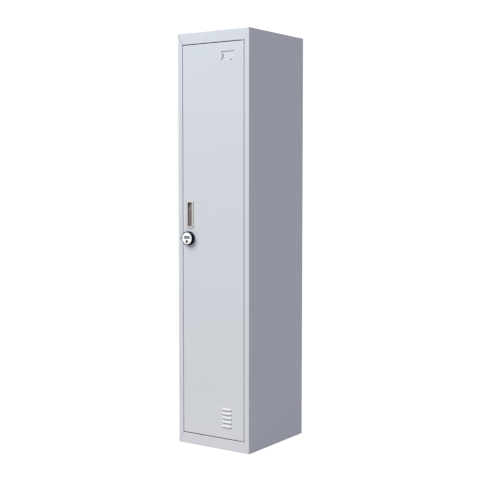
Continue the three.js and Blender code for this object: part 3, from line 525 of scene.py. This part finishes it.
def pale_floor():
    """A wide white floor that shows only a trace of the shadows on it."""
    mesh = bpy.data.meshes.new("floor")
    edge = FLOOR_HALF
    mesh.from_pydata(
        [(-edge, -edge, 0), (edge, -edge, 0), (edge, edge, 0), (-edge, edge, 0)], [], [(0, 1, 2, 3)]
    )
    floor = bpy.data.objects.new("floor", mesh)
    bpy.context.scene.collection.objects.link(floor)
    material = bpy.data.materials.new("white_floor")
    material.use_nodes = True
    graph = Graph(material.node_tree)
    matt = graph.add("ShaderNodeBsdfDiffuse", {"Color": (0.86, 0.86, 0.87, 1)})
    lit = graph.add("ShaderNodeEmission", {"Color": FILL_COLOUR, "Strength": FILL_STRENGTH})
    white = graph.add("ShaderNodeEmission", {"Color": WHITE, "Strength": FLOOR_SEEN})
    seen = graph.add("ShaderNodeLightPath").outputs["Is Camera Ray"]
    glow = graph.add("ShaderNodeMixShader", {0: seen, 1: lit.outputs[0], 2: white.outputs[0]})
    mixed = graph.add(
        "ShaderNodeMixShader", {0: FLOOR_GLOW, 1: matt.outputs[0], 2: glow.outputs[0]}
    )
    graph.add("ShaderNodeOutputMaterial", {"Surface": mixed.outputs[0]})
    mesh.materials.append(material)


def hang_lamp(name, light, towards, place=(0, 0, 0)):
    """A lamp that shines against towards, which points from what it lights to the lamp."""
    lamp = bpy.data.objects.new(name, light)
    lamp.location = place
    x, y, z = towards
    lamp.rotation_euler = (math.atan2(math.hypot(x, y), z), 0, math.atan2(x, -y))
    bpy.context.scene.collection.objects.link(lamp)


def soft_lamp(name, place, aim, size, power, colour):
    """A rectangular lamp at a place, turned to the point that it is aimed at."""
    light = bpy.data.lights.new(name, "AREA")
    light.shape = "RECTANGLE"
    light.size, light.size_y = size
    light.energy = power
    light.color = colour
    hang_lamp(name, light, np.array(place) - np.array(aim), place)


def distant_lamp(name, towards, spread, strength, colour):
    """An even light from far off, whose spread in degrees sets its softness."""
    light = bpy.data.lights.new(name, "SUN")
    light.angle = math.radians(spread)
    light.energy = strength
    light.color = colour
    hang_lamp(name, light, towards)


def studio():
    """A white room, a cool even fill from all round, and a soft key from above the left."""
    world = bpy.data.worlds.new("white_room")
    bpy.context.scene.world = world
    world.use_nodes = True
    graph = Graph(world.node_tree)
    fill = graph.add("ShaderNodeBackground", {"Color": FILL_COLOUR, "Strength": FILL_STRENGTH})
    seen = graph.add("ShaderNodeBackground", {"Color": WHITE, "Strength": ROOM_SEEN})
    direct = graph.add("ShaderNodeLightPath").outputs["Is Camera Ray"]
    mixed = graph.add("ShaderNodeMixShader", {0: direct, 1: fill.outputs[0], 2: seen.outputs[0]})
    graph.add("ShaderNodeOutputWorld", {"Surface": mixed.outputs[0]})
    distant_lamp("key", (-0.6, -1.0, 1.1), SUN_SPREAD, SUN_STRENGTH, SUN_COLOUR)
    soft_lamp(
        "top_glow", (-0.7, -1.9, 2.5), (0, -0.2, 1.8), (0.9, 0.6), GLOW_POWER, GLOW_COLOUR
    )


place_camera()
pale_floor()
studio()
bpy.context.scene.view_settings.view_transform = "Standard"


# ---------------------------------------------------------------- door skin
FOLD_RADIUS = 2.6
FOLD_STEPS = 6
FOLD_GAP = 0.6  # from a fold to the first point on the flat beside it
GAUGE = 0.8
EDGE_LIP = 12.0
PULL_HOLE = (35.0, 114.0)
LOCK_HOLE = 19.0

LOUVRE_X = CARCASS_LEFT + 266.4
LOUVRE_LIPS = 181.4 - 19.0 * np.arange(5)
LOUVRE_HALF = 26.6
LOUVRE_TALL = 10.5
LOUVRE_SLOT = 2.6
LOUVRE_ARCH = 0.8
LOUVRE_PROUD = FRONT - SKIN_LOW[1]
LOUVRE_ROWS = (97.0, 196.0)  # heights that the louvres' own rows cover
LIP_STEP = 0.02  # height of the row pair that makes a lip's edge
HOOD_STEP = 0.75
SAG_FROM, SAG_FULL, SAG_TO = 12, 4, 24  # below the lowest lip, twice, and above the highest
SHEET_STEPS = (12, 40)  # spacing across and up the plain sheet

CARD_LEFT, CARD_RIGHT = CARCASS_LEFT + 238.0, CARCASS_LEFT + 306.0
CARD_FOOT, CARD_TOP = 1719.0, 1757.0
CARD_RADIUS = 5.0
CARD_DEPTH = 1.5
CARD_EDGE = (-0.3, 2.2)  # where the pressing's side begins and ends, inside its outline
CARD_FADE = (0.2, 0.8)  # the share of the depth at the foot, and what the top adds
CARD_GRID = 0.4
GRIP_DEPTH = 0.1
SLIT_LIP = 0.7  # how far the sheet rolls down beside a slit, over SLIT_ROLL
SLIT_ROLL = 1.4
TONGUE_RIGHT = 10.2
TONGUE_TOP = 11.0
SLANT_LEFT, SLANT_FOOT = 1.4, 1.8
SLANT_RUN = 8.8
SLANT_RISE = CARD_TOP - CARD_FOOT - 27.8
LUG_LEFT, LUG_FOOT, LUG_TOP = 16.5, 1.0, 7.5
LUG_RUN, LUG_RISE = 13.0, 8.0


def smoothstep(value, low, high):
    """0 below low, 1 above high, and a smooth rise in between."""
    t = np.clip((value - low) / (high - low), 0, 1)
    return t * t * (3 - 2 * t)


def distance_to_line(x, z, start, end):
    """Distance from each point to a straight stroke between two points."""
    (x0, z0), (x1, z1) = start, end
    dx, dz = x1 - x0, z1 - z0
    along = np.clip(((x - x0) * dx + (z - z0) * dz) / (dx * dx + dz * dz), 0, 1)
    return np.hypot(x - x0 - along * dx, z - z0 - along * dz)


def distance_to_card(x, z):
    """Signed distance to the card holder's rounded rectangle, negative inside."""
    half_width, half_height = (CARD_RIGHT - CARD_LEFT) / 2, (CARD_TOP - CARD_FOOT) / 2
    qx = np.abs(x - (CARD_LEFT + CARD_RIGHT) / 2) - half_width + CARD_RADIUS
    qz = np.abs(z - (CARD_FOOT + CARD_TOP) / 2) - half_height + CARD_RADIUS
    beyond = np.hypot(np.maximum(qx, 0), np.maximum(qz, 0))
    return beyond + np.minimum(np.maximum(qx, qz), 0) - CARD_RADIUS


# each slit's two ends and its width
CARD_SLITS = [
    ((CARD_LEFT + 1.6, CARD_TOP - 7.0), (CARD_LEFT + 1.6, CARD_TOP - 4.5), 1.0),
    ((CARD_LEFT + 1.6, CARD_TOP - 4.5), (CARD_LEFT + 5.0, CARD_TOP - 1.4), 1.0),
    ((CARD_LEFT + 5.0, CARD_TOP - 1.4), (CARD_RIGHT - 1.5, CARD_TOP - 1.4), 1.5),
    ((CARD_LEFT + 9.2, CARD_TOP - 11), (CARD_LEFT + 9.2, CARD_TOP - 26), 4.2),
    ((CARD_LEFT + 9.2, CARD_TOP - 26), (CARD_LEFT + 1.4, CARD_FOOT + 1.8), 2.3),
    ((CARD_RIGHT - 17.5, CARD_FOOT - 1.0), (CARD_RIGHT - 14.5, CARD_FOOT + 0.4), 4.2),
    ((CARD_RIGHT - 4.2, CARD_FOOT + 6.2), (CARD_RIGHT - 2.8, CARD_FOOT + 7.4), 2.6),
]


def card_holder(x, z):
    """Depth of the pressing, and the slits cut along its top and along the edges of its two grips.

    The floor is deepest at the top and fades out towards the bottom. The tongue on the left and the
    corner lug on the lower right stay at the door's face, and roll down towards their slits.
    """
    inside = -distance_to_card(x, z)
    fade = CARD_FADE[0] + CARD_FADE[1] * smoothstep(z, CARD_FOOT, CARD_TOP)
    depth = CARD_DEPTH * smoothstep(inside, *CARD_EDGE) * fade
    tongue = (CARD_LEFT + TONGUE_RIGHT - x > 0) & (z < CARD_TOP - TONGUE_TOP)
    climb = (z - CARD_FOOT - SLANT_FOOT) * SLANT_RUN
    tongue &= climb > (x - CARD_LEFT - SLANT_LEFT) * SLANT_RISE
    lug = (x - CARD_RIGHT + LUG_LEFT) * LUG_RISE > (z - CARD_FOOT + LUG_FOOT) * LUG_RUN
    raised = tongue | (lug & (z < CARD_FOOT + LUG_TOP))
    depth = np.where(raised & (inside > 0), np.minimum(depth, GRIP_DEPTH), depth)
    open_slit = np.zeros(x.shape, bool)
    for start, end, width in CARD_SLITS:
        away = distance_to_line(x, z, start, end)
        depth = depth + SLIT_LIP * (1 - smoothstep(away, width * 0.5, width * 0.5 + SLIT_ROLL))
        open_slit |= away < width * 0.5 + 0.1
    return depth, open_slit


def hoods(x, z):
    """How far the louvres stand out.

    From its top edge a hood rises as a quarter sine to full height at its lip. Along its width it
    keeps that height and rounds off to nothing at both ends, like a flattened ellipse.
    """
    across = np.clip(np.abs(x - LOUVRE_X) / LOUVRE_HALF, 0, 1)
    ends = np.sqrt(1 - across**7)
    proud = np.zeros(np.broadcast(x, z).shape)
    for lip in LOUVRE_LIPS:
        up = (z - lip) / LOUVRE_TALL
        rise = np.sin((1 - np.clip(up, 0, 1)) * math.pi / 2) ** 1.15
        proud = np.where((up >= 0) & (up <= 1), LOUVRE_PROUD * rise * ends, proud)
    return proud


def spaced(start, end, step):
    """Even values from start to end, about a step apart."""
    return np.linspace(start, end, max(2, int(round((end - start) / step)) + 1))


def hole_edges(centre, size):
    return [centre - size / 2, centre + size / 2]


def cell_means(values):
    """The mean over each face's four corners."""
    return (values[:-1, :-1] + values[:-1, 1:] + values[1:, 1:] + values[1:, :-1]) / 4


def door_columns():
    """The door's outline in plan from one lip round the front to the other, and its inward normals.

    Each fold is a quarter circle. Across the front the points crowd together over the card holder
    and the louvres, and fall on the edges of the pull's and the lock's holes.
    """
    r, back = FOLD_RADIUS, DOOR_BACK
    left, right = DOOR_LEFT, DOOR_RIGHT
    holes = hole_edges(PULL_X, PULL_HOLE[0]) + hole_edges(LOCK_X, LOCK_HOLE)
    fine = spaced(CARD_LEFT - 3, CARD_RIGHT + 3, CARD_GRID)
    coarse = spaced(left + r + FOLD_GAP, right - r - FOLD_GAP, SHEET_STEPS[0])
    coarse = coarse[(coarse < fine[0] - 2) | (coarse > fine[-1] + 2)]
    ends = np.array([LOUVRE_X - LOUVRE_HALF, LOUVRE_X + LOUVRE_HALF])
    front = np.unique(np.concatenate([fine, coarse, holes, ends]))
    arc = np.linspace(0, math.pi / 2, FOLD_STEPS)

    def fold(cx, cy, start):
        turn = start + arc
        points = np.stack([cx + r * np.cos(turn), cy + r * np.sin(turn)], -1)
        return points, np.stack([-np.cos(turn), -np.sin(turn)], -1)

    def straight(xs, ys, normal):
        points = np.stack(np.broadcast_arrays(xs, ys), -1).astype(float)
        return points, np.broadcast_to(np.array(normal, float), points.shape)

    half, full = math.pi / 2, math.pi
    runs = [
        straight(np.array([left + EDGE_LIP, left + r + FOLD_GAP]), back, (0, -1)),
        fold(left + r, back - r, half),
        straight(left, np.array([back - r - FOLD_GAP, FRONT + r + FOLD_GAP]), (1, 0)),
        fold(left + r, FRONT + r, full),
        straight(front, FRONT, (0, 1)),
        fold(right - r, FRONT + r, full + half),
        straight(right, np.array([FRONT + r + FOLD_GAP, back - r - FOLD_GAP]), (-1, 0)),
        fold(right - r, back - r, 0.0),
        straight(np.array([right - r - FOLD_GAP, right - EDGE_LIP]), back, (0, -1)),
    ]
    outline = np.vstack([run[0] for run in runs])
    normals = np.vstack([run[1] for run in runs])
    return outline, normals


def door_rows():
    """Heights of the door's rows, and how far the end folds draw each of them inwards."""
    r = FOLD_RADIUS
    arc = np.linspace(0, math.pi / 2, FOLD_STEPS)
    inset = r * (1 - np.sin(arc))
    rise = r * (1 - np.cos(arc))
    lips = np.concatenate([LOUVRE_LIPS, LOUVRE_LIPS - LIP_STEP])
    hood_rows = [spaced(lip, lip + LOUVRE_TALL, HOOD_STEP) for lip in LOUVRE_LIPS]
    vents = np.concatenate(hood_rows + [LOUVRE_LIPS - LOUVRE_SLOT])
    card = spaced(CARD_FOOT - 6, CARD_TOP + 3, CARD_GRID)
    holes = hole_edges(PULL_Z, PULL_HOLE[1]) + hole_edges(LOCK_Z, LOCK_HOLE)
    coarse = spaced(DOOR_BOTTOM + r + FOLD_GAP, DOOR_TOP - r - FOLD_GAP, SHEET_STEPS[1])
    clear = (coarse < LOUVRE_ROWS[0]) | (coarse > LOUVRE_ROWS[1])
    coarse = coarse[clear & ((coarse < card[0]) | (coarse > card[-1]))]
    middle = np.unique(np.concatenate([lips, vents, card, holes, coarse]))
    heights = np.concatenate([DOOR_BOTTOM + rise, middle, DOOR_TOP - rise[::-1]])
    insets = np.concatenate([inset, np.zeros(len(middle)), inset[::-1]])
    return heights, insets


def door_skin():
    """One pressed and folded sheet: plan outline carried up the door, drawn in at its ends.

    Each louvre's lip sags by a parabola, so the rows over the louvres are bent down in the middle.
    """
    outline, normals = door_columns()
    heights, insets = door_rows()
    place = outline[None] + normals[None] * insets[:, None, None]
    x, y = place[..., 0], place[..., 1].copy()
    z = np.broadcast_to(heights[:, None], x.shape)
    front = np.broadcast_to((normals[:, 1] > 0.999) & (outline[:, 1] < FRONT + 0.01), x.shape)
    depth, open_slit = card_holder(x, z)
    proud = hoods(x, z)
    y += np.where(front, depth - proud, 0.0)
    sag = 1 - np.clip(np.abs(x - LOUVRE_X) / LOUVRE_HALF, 0, 1) ** 2
    lowest, highest = LOUVRE_LIPS.min(), LOUVRE_LIPS.max()
    near = smoothstep(z, lowest - SAG_FROM, lowest - SAG_FULL)
    near = near * (1 - smoothstep(z, highest + LOUVRE_TALL, highest + SAG_TO))
    rows = np.stack([x, y, z - LOUVRE_ARCH * sag * near * front], -1)

    mx, mz, mfront = cell_means(x), cell_means(z), cell_means(front.astype(float)) > 0.99
    in_pull = (np.abs(mx - PULL_X) < PULL_HOLE[0] / 2) & (np.abs(mz - PULL_Z) < PULL_HOLE[1] / 2)
    in_lock = (np.abs(mx - LOCK_X) < LOCK_HOLE / 2) & (np.abs(mz - LOCK_Z) < LOCK_HOLE / 2)
    in_slit = cell_means(open_slit.astype(float)) > 0.6
    under_lip = np.abs(mx - LOUVRE_X) < LOUVRE_HALF - 1.2
    below = mz[..., None] - LOUVRE_LIPS
    under_lip &= ((below > -LOUVRE_SLOT) & (below < 0)).any(-1)
    steep = np.abs(np.diff(proud, axis=0))
    across_lip = (np.diff(z, axis=0) < 1.5 * LIP_STEP)[:, :-1]
    across_lip &= np.maximum(steep[:, :-1], steep[:, 1:]) > 0.05
    drop = mfront & (in_pull | in_lock | in_slit | across_lip | under_lip)

    flange = rows[[0, -1]].copy()
    flat_front = normals[:, 1] > 0.0
    flange[:, flat_front, 1] = DOOR_BACK - FOLD_RADIUS
    lower = np.stack([flange[0], rows[0]])
    upper = np.stack([rows[-1], flange[1]])
    parts = [surface(rows, drop=drop), surface(lower), surface(upper)]
    return piece(
        "door_skin_pressed", [weld(parts)], [PAINT], "door", ["door_skin"], wall=GAUGE
    )


# ---------------------------------------------------------------- recessed pull
MOUTH_WIDTH, MOUTH_HEIGHT = 22.0, 106.5
TUB_RISE = 7.5
TUB_SLANT = 7.0
POCKET = 5.0
POCKET_FROM, POCKET_TO = 36, 6  # below the mouth's top
MOUTH_SHIFT = 0.8
TUB_WALL = 1.6
SIDE_POINTS = 48


def pull_handle():
    """One moulding, lofted through rounded rectangles; its inside takes a darker colour than the
    bezel, which is painted shade of the pocket.

    From the middle of the tub's back the rows run forwards along its outside, round the bezel, in
    through the mouth and down to the tub's floor, where they are held at the floor's depth. It is
    deepest on the right and at the top, and rises towards the front to the left and below.
    """
    back = PULL_HIGH[1]
    proud = PULL_LOW[1]

    def ring(width, height, radius, y):
        return (PULL_X, PULL_Z, width, height, radius, y)

    def mouth(grow_x, grow_z, radius, y):
        width, height = MOUTH_WIDTH + grow_x, MOUTH_HEIGHT + grow_z
        return (PULL_X + MOUTH_SHIFT, PULL_Z, width, height, radius, y)

    shell = [
        ring(0.0, 79.0, 0.0, back),
        ring(32.2, 111.2, 2.4, back),
        ring(33.6, 112.6, 2.8, back - 0.4),
        ring(34.2, 113.2, 3.0, back - 1.2),
        ring(34.2, 113.2, 3.0, FRONT - 0.1),
        ring(39.2, 119.2, 5.6, FRONT - 0.1),
        ring(40.0, 120.0, 6.0, FRONT - 0.4),
        ring(39.9, 119.9, 6.0, proud + 0.8),
        ring(39.3, 119.3, 5.7, proud + 0.35),
        ring(38.2, 118.2, 5.2, proud + 0.08),
        ring(36.8, 116.8, 4.6, proud),
        mouth(3.6, 3.6, 3.9, proud),
        mouth(2.2, 2.2, 3.4, proud + 0.15),
        mouth(1.0, 1.0, 3.0, proud + 0.6),
        mouth(0.3, 0.3, 2.7, proud + 1.3),
        mouth(0.0, 0.0, 2.5, proud + 2.2),
    ]
    hollow = [
        mouth(0.0, 0.0, 2.5, proud + 2.2),
        mouth(-0.1, -0.1, 2.5, FRONT + 1.3),
        mouth(-0.2, -0.2, 2.5, FRONT + 3.0),
        mouth(-0.4, -0.4, 2.5, back - 4.2),
        mouth(-1.2, -1.2, 2.4, back - 2.4),
        mouth(-2.6, -2.6, 2.2, back - 1.7),
        mouth(-7.0, -7.0, 1.8, back - 1.68),
        mouth(-12.0, -12.0, 1.4, back - 1.65),
        mouth(-17.0, -17.0, 1.0, back - 1.62),
        mouth(-MOUTH_WIDTH, -MOUTH_WIDTH, 0.0, back - 1.6),
    ]
    inside, faces, finish = loft(hollow, finish=1, between=SIDE_POINTS)
    top = PULL_Z + MOUTH_HEIGHT / 2
    rise = TUB_RISE - TUB_SLANT * (inside[:, 0] - PULL_X - MOUTH_SHIFT) / MOUTH_WIDTH
    rise = rise - POCKET * smoothstep(inside[:, 2], top - POCKET_FROM, top - POCKET_TO)
    floor = back - TUB_WALL - rise
    inside[:, 1] = np.minimum(inside[:, 1], floor)
    parts = [loft(shell, between=SIDE_POINTS), (inside, faces, finish)]
    return piece("pull_moulding", parts, [BEIGE, RECESS_SHADE], "door", ["pull_handle"])


# ---------------------------------------------------------------- combination lock
WHEEL_LOW, WHEEL_HIGH = node_box("digit_wheel_1")
WINDOW_Z = WHEEL_LOW[2] / 2 + WHEEL_HIGH[2] / 2
WINDOW = (31.0, 12.0, 1.2)
WELL_HEIGHT = WHEEL_HIGH[2] - WHEEL_LOW[2] + 1.2
WELL_BACK = WHEEL_HIGH[1] + 0.6
GRIPS = 16
ROUND = 192
WHEEL_ROUND = 120
NUMERAL_HEIGHT = 3.0
NUMERAL_RISE = 0.04
NUB_OUT = 1.8  # from the grip's rim out to the middle of the nub


def turned(profile):
    """A turned body about the lock's axis: each profile point is (radius, y, flute depth).

    A flute takes its depth off the radius where a cosine of the grips' count peaks, sharpened so
    that the flutes are narrower than the lands between them.
    """
    turn = np.linspace(0, 2 * math.pi, ROUND, endpoint=False)
    flute = (0.5 - 0.5 * np.cos(GRIPS * turn)) ** 3
    profile = np.array(profile, float)
    radius = profile[:, :1] - profile[:, 2:] * flute[None]
    rows = np.stack(
        [
            LOCK_X + radius * np.cos(turn),
            np.broadcast_to(profile[:, 1:2], radius.shape),
            LOCK_Z + radius * np.sin(turn),
        ],
        -1,
    )
    return surface(rows, closed_columns=True)


def window_ring(y, grow=0.0):
    width, height, radius = WINDOW
    return (LOCK_X, WINDOW_Z, width + grow, height + grow, radius + grow / 2, y)


def knob_body():
    """The grip: a fluted rim with a rounded front edge, and a well behind the window."""
    back = KNOB_HIGH[1]
    rim = FACE + 0.35
    r = KNOB_RADIUS
    nub_x = LOCK_X - r - NUB_OUT
    outside = [
        (0.0, back, 0),
        (r - 1.6, back, 0.2),
        (r - 0.5, back - 0.4, 0.6),
        (r, back - 1.4, 1.0),
        (r, FACE + 4.2, 1.5),
        (r - 0.3, FACE + 2.8, 1.4),
        (r - 1.1, FACE + 1.5, 1.1),
        (r - 2.3, FACE + 0.7, 0.6),
        (r - 3.6, rim, 0.0),
        (FACE_RADIUS + 0.5, rim, 0),
        (FACE_RADIUS + 0.25, rim + 0.2, 0),
        (FACE_RADIUS + 0.25, DISC + 1.3, 0),
    ]
    circle = 2 * FACE_RADIUS + 0.5
    width, height, radius = WINDOW
    well = [
        (LOCK_X, LOCK_Z, circle, circle, circle / 2, DISC + 1.3),
        (LOCK_X, WINDOW_Z, width + 0.6, WELL_HEIGHT, radius, DISC + 1.3),
        (LOCK_X, WINDOW_Z, width + 0.6, WELL_HEIGHT, radius, WELL_BACK),
        (LOCK_X, WINDOW_Z, 20.0, 0.0, 0.0, WELL_BACK),
    ]
    nub = [
        (nub_x, LOCK_Z, 0.0, 0.0, 0.0, FACE + 2.05),
        (nub_x, LOCK_Z, 7.0, 3.6, 1.1, FACE + 2.1),
        (nub_x, LOCK_Z, 8.0, 4.8, 1.5, FACE + 2.5),
        (nub_x, LOCK_Z, 8.4, 5.2, 1.7, FACE + 3.2),
        (nub_x, LOCK_Z, 8.4, 5.2, 1.7, FACE + 6.6),
        (nub_x, LOCK_Z, 8.0, 4.8, 1.5, FACE + 7.2),
        (nub_x, LOCK_Z, 7.0, 3.6, 1.1, FACE + 7.5),
        (nub_x, LOCK_Z, 0.0, 0.0, 0.0, FACE + 7.55),
    ]
    grip = weld([turned(outside), loft(well, steps=ROUND // 4 + 1)])
    parts = [grip, flipped(loft(nub))]
    return piece(
        "knob_grip", parts, [BLACK], "lock_knob", ["knob_body"], crease=40
    )


def knob_face():
    """The face: a thin dished disc with a window, closed round its window and its rim."""
    r = FACE_RADIUS
    rows = [
        window_ring(DISC + 1.2),
        window_ring(DISC + 0.5),
        window_ring(DISC + 0.12, 0.5),
        window_ring(DISC, 1.3),
        (LOCK_X, LOCK_Z, 2 * r - 1.8, 2 * r - 1.8, r - 0.9, DISC),
        (LOCK_X, LOCK_Z, 2 * r - 0.5, 2 * r - 0.5, r - 0.25, DISC + 0.12),
        (LOCK_X, LOCK_Z, 2 * r, 2 * r, r, DISC + 0.5),
        (LOCK_X, LOCK_Z, 2 * r, 2 * r, r, DISC + 1.2),
    ]
    disc = flipped(loft(rows, closed=True))
    return piece("knob_face_plate", [disc], [ENAMEL], "lock_knob", ["knob_face"])


def key_plug():
    """The key plug: a turned barrel with a raised ring, and a keyway lofted into its front, whose
    shallow floor is coloured black as painted shade.
    """
    r = KEY_RADIUS
    back = PLUG_HIGH[1]

    def ring(width, height, radius, y):
        return (LOCK_X, KEY_Z, width, height, radius, y)

    rows = [
        ring(0.0, 0.0, 0.0, back),
        ring(2 * r, 2 * r, r, back),
        ring(2 * r, 2 * r, r, FACE + 0.35),
        ring(2 * r - 0.4, 2 * r - 0.4, r - 0.2, FACE + 0.08),
        ring(2 * r - 1.0, 2 * r - 1.0, r - 0.5, FACE),
        ring(2 * r - 2.0, 2 * r - 2.0, r - 1.0, FACE + 0.05),
        ring(2 * r - 2.6, 2 * r - 2.6, r - 1.3, FACE + 0.4),
        ring(2.6, 7.2, 0.5, FACE + 0.4),
        ring(2.2, 6.8, 0.4, FACE + 0.5),
    ]
    # The keyway is 0.22 mm deep; its black finish is painted shade for a deep slot.
    slot = [
        ring(2.2, 6.8, 0.4, FACE + 0.5),
        ring(2.2, 6.8, 0.4, FACE + 0.72),
        ring(0.0, 4.4, 0.0, FACE + 0.72),
    ]
    parts = [loft(rows), loft(slot, finish=1)]
    return piece("key_plug_turned", parts, [BRASS, BLACK], "key_plug", ["key_plug"])


def numeral(text, height):
    """A numeral as points and faces: x across, y up, z out of its face, centred on the origin."""
    curve = bpy.data.curves.new("numeral", "FONT")
    curve.body = text
    curve.align_x = "CENTER"
    curve.extrude = 0.03
    curve.resolution_u = 3
    made = bpy.data.objects.new("numeral", curve)
    mesh = bpy.data.meshes.new_from_object(made)
    points = np.zeros(len(mesh.vertices) * 3)
    mesh.vertices.foreach_get("co", points)
    points = points.reshape(-1, 3)
    faces = [list(face.vertices) for face in mesh.polygons]
    bpy.data.objects.remove(made)
    bpy.data.curves.remove(curve)
    bpy.data.meshes.remove(mesh)
    low, high = points.min(0), points.max(0)
    points = (points - (low + high) / 2) * (height / (high[1] - low[1]))
    return points, faces


def digit_wheel(number):
    """A wheel of ten shallow flats with a numeral on each, and the 0 at the front.

    The rim's radius dips by a rectified sine between the numerals. A numeral's height is wrapped
    round the rim as an angle, and its thickness stands out along the radius.
    """
    low, high = node_box("digit_wheel_%d" % number)
    centre_y, centre_z = (low[1] + high[1]) / 2, (low[2] + high[2]) / 2
    rim = (high[1] - low[1]) / 2 - 0.2
    x0, x1 = low[0], high[0]
    turn = np.linspace(0, 2 * math.pi, WHEEL_ROUND, endpoint=False)
    dip = np.abs(np.sin(5 * turn)) ** 6
    profile = np.array(
        [(0, x0, 0), (rim - 0.7, x0, 0), (rim - 0.1, x0 + 0.5, 0.3), (rim, x0 + 0.9, 0.4)]
        + [(rim, x1 - 0.9, 0.4), (rim - 0.1, x1 - 0.5, 0.3), (rim - 0.7, x1, 0), (0, x1, 0)]
    )
    radius = profile[:, :1] - profile[:, 2:] * dip[None]
    rows = np.stack(
        [
            np.broadcast_to(profile[:, 1:2], radius.shape),
            centre_y - radius * np.cos(turn),
            centre_z + radius * np.sin(turn),
        ],
        -1,
    )
    parts = [flipped(surface(rows, closed_columns=True))]
    for value in range(10):
        points, faces = numeral(str(value), NUMERAL_HEIGHT)
        angle = value * math.pi / 5 + points[:, 1] / rim
        out = rim + NUMERAL_RISE + points[:, 2]
        wrapped = np.stack(
            [
                (x0 + x1) / 2 + points[:, 0],
                centre_y - out * np.cos(angle),
                centre_z + out * np.sin(angle),
            ],
            -1,
        )
        parts.append((wrapped, faces, 1))
    name = "digit_wheel_%d_numbered" % number
    node = "digit_wheel_%d" % number
    return piece(name, parts, [WHEEL, DIGIT_INK], node, [node])


door_skin()
pull_handle()
knob_body()
knob_face()
key_plug()
for wheel in range(1, 5):
    digit_wheel(wheel)


# ---------------------------------------------------------------- CAD nodes that stay
CREASE_ANGLE = 36
BEVEL_ANGLE = 50


def smooth_between_creases():
    """A geometry group that merges a node's triangles and shades them smooth up to a crease."""
    tree = bpy.data.node_groups.new("smooth_between_creases", "GeometryNodeTree")
    tree.interface.new_socket("Geometry", in_out="INPUT", socket_type="NodeSocketGeometry")
    tree.interface.new_socket("Geometry", in_out="OUTPUT", socket_type="NodeSocketGeometry")
    graph = Graph(tree)
    given = graph.add("NodeGroupInput").outputs[0]
    merged = graph.add("GeometryNodeMergeByDistance", {"Geometry": given, "Distance": 1e-5})
    soft = graph.add(
        "GeometryNodeSetShadeSmooth",
        {"Geometry": merged.outputs[0], "Shade Smooth": True},
        domain="FACE",
    )
    angle = graph.add("GeometryNodeInputMeshEdgeAngle").outputs["Unsigned Angle"]
    steep = graph.math("GREATER_THAN", angle, math.radians(CREASE_ANGLE))
    creased = graph.add(
        "GeometryNodeSetShadeSmooth",
        {"Geometry": soft.outputs[0], "Selection": steep, "Shade Smooth": False},
        domain="EDGE",
    )
    graph.add("NodeGroupOutput", {0: creased.outputs[0]})
    return tree


CREASES = smooth_between_creases()


def finish_node(name, material, edge):
    """A CAD node with its finish, its hard edges broken by a small bevel."""
    node = nodes[name]
    node.data.materials.clear()
    node.data.materials.append(material)
    node.modifiers.new("creases", "NODES").node_group = CREASES
    if edge:
        broken = node.modifiers.new("broken edges", "BEVEL")
        broken.width = edge * MM
        broken.segments = 2
        broken.limit_method = "ANGLE"
        broken.angle_limit = math.radians(BEVEL_ANGLE)
        broken.harden_normals = False
    evened = node.modifiers.new("even shading", "WEIGHTED_NORMAL")
    evened.keep_sharp = True


FINISH_OF = [
    (PAINT, 0.15, ["left_side_panel", "right_side_panel", "back_panel", "roof_panel"]),
    (PAINT, 0.15, ["floor_panel", "hat_shelf", "door_stiffener", "shelf_bracket"]),
    (CHROME, 0.2, ["coat_rail"]),
    (ZINC, 0.25, ["shelf_screw", "shelf_nut", "rail_bracket", "hinge_plate", "strike_plate"]),
    (ZINC, 0.25, ["pivot_pin_lower", "pivot_bolt", "bolt_bracket", "pull_retainer"]),
    (ZINC, 0.25, ["lock_washer", "lock_nut", "lock_spindle", "lock_cam", "cam_screw"]),
    (ZINC, 0.0, ["bolt_spring", "wheel_axle"]),
    (NYLON, 0.15, ["frame_bush_upper", "pivot_washer_lower", "door_bush"]),
    (BLACK, 0.3, ["lock_base", "glide"]),
    (RUBBER, 0.4, ["door_bumper"]),
]
for material, edge, starts in FINISH_OF:
    for name in sorted(nodes):
        if name.startswith(tuple(starts)):
            finish_node(name, material, edge)
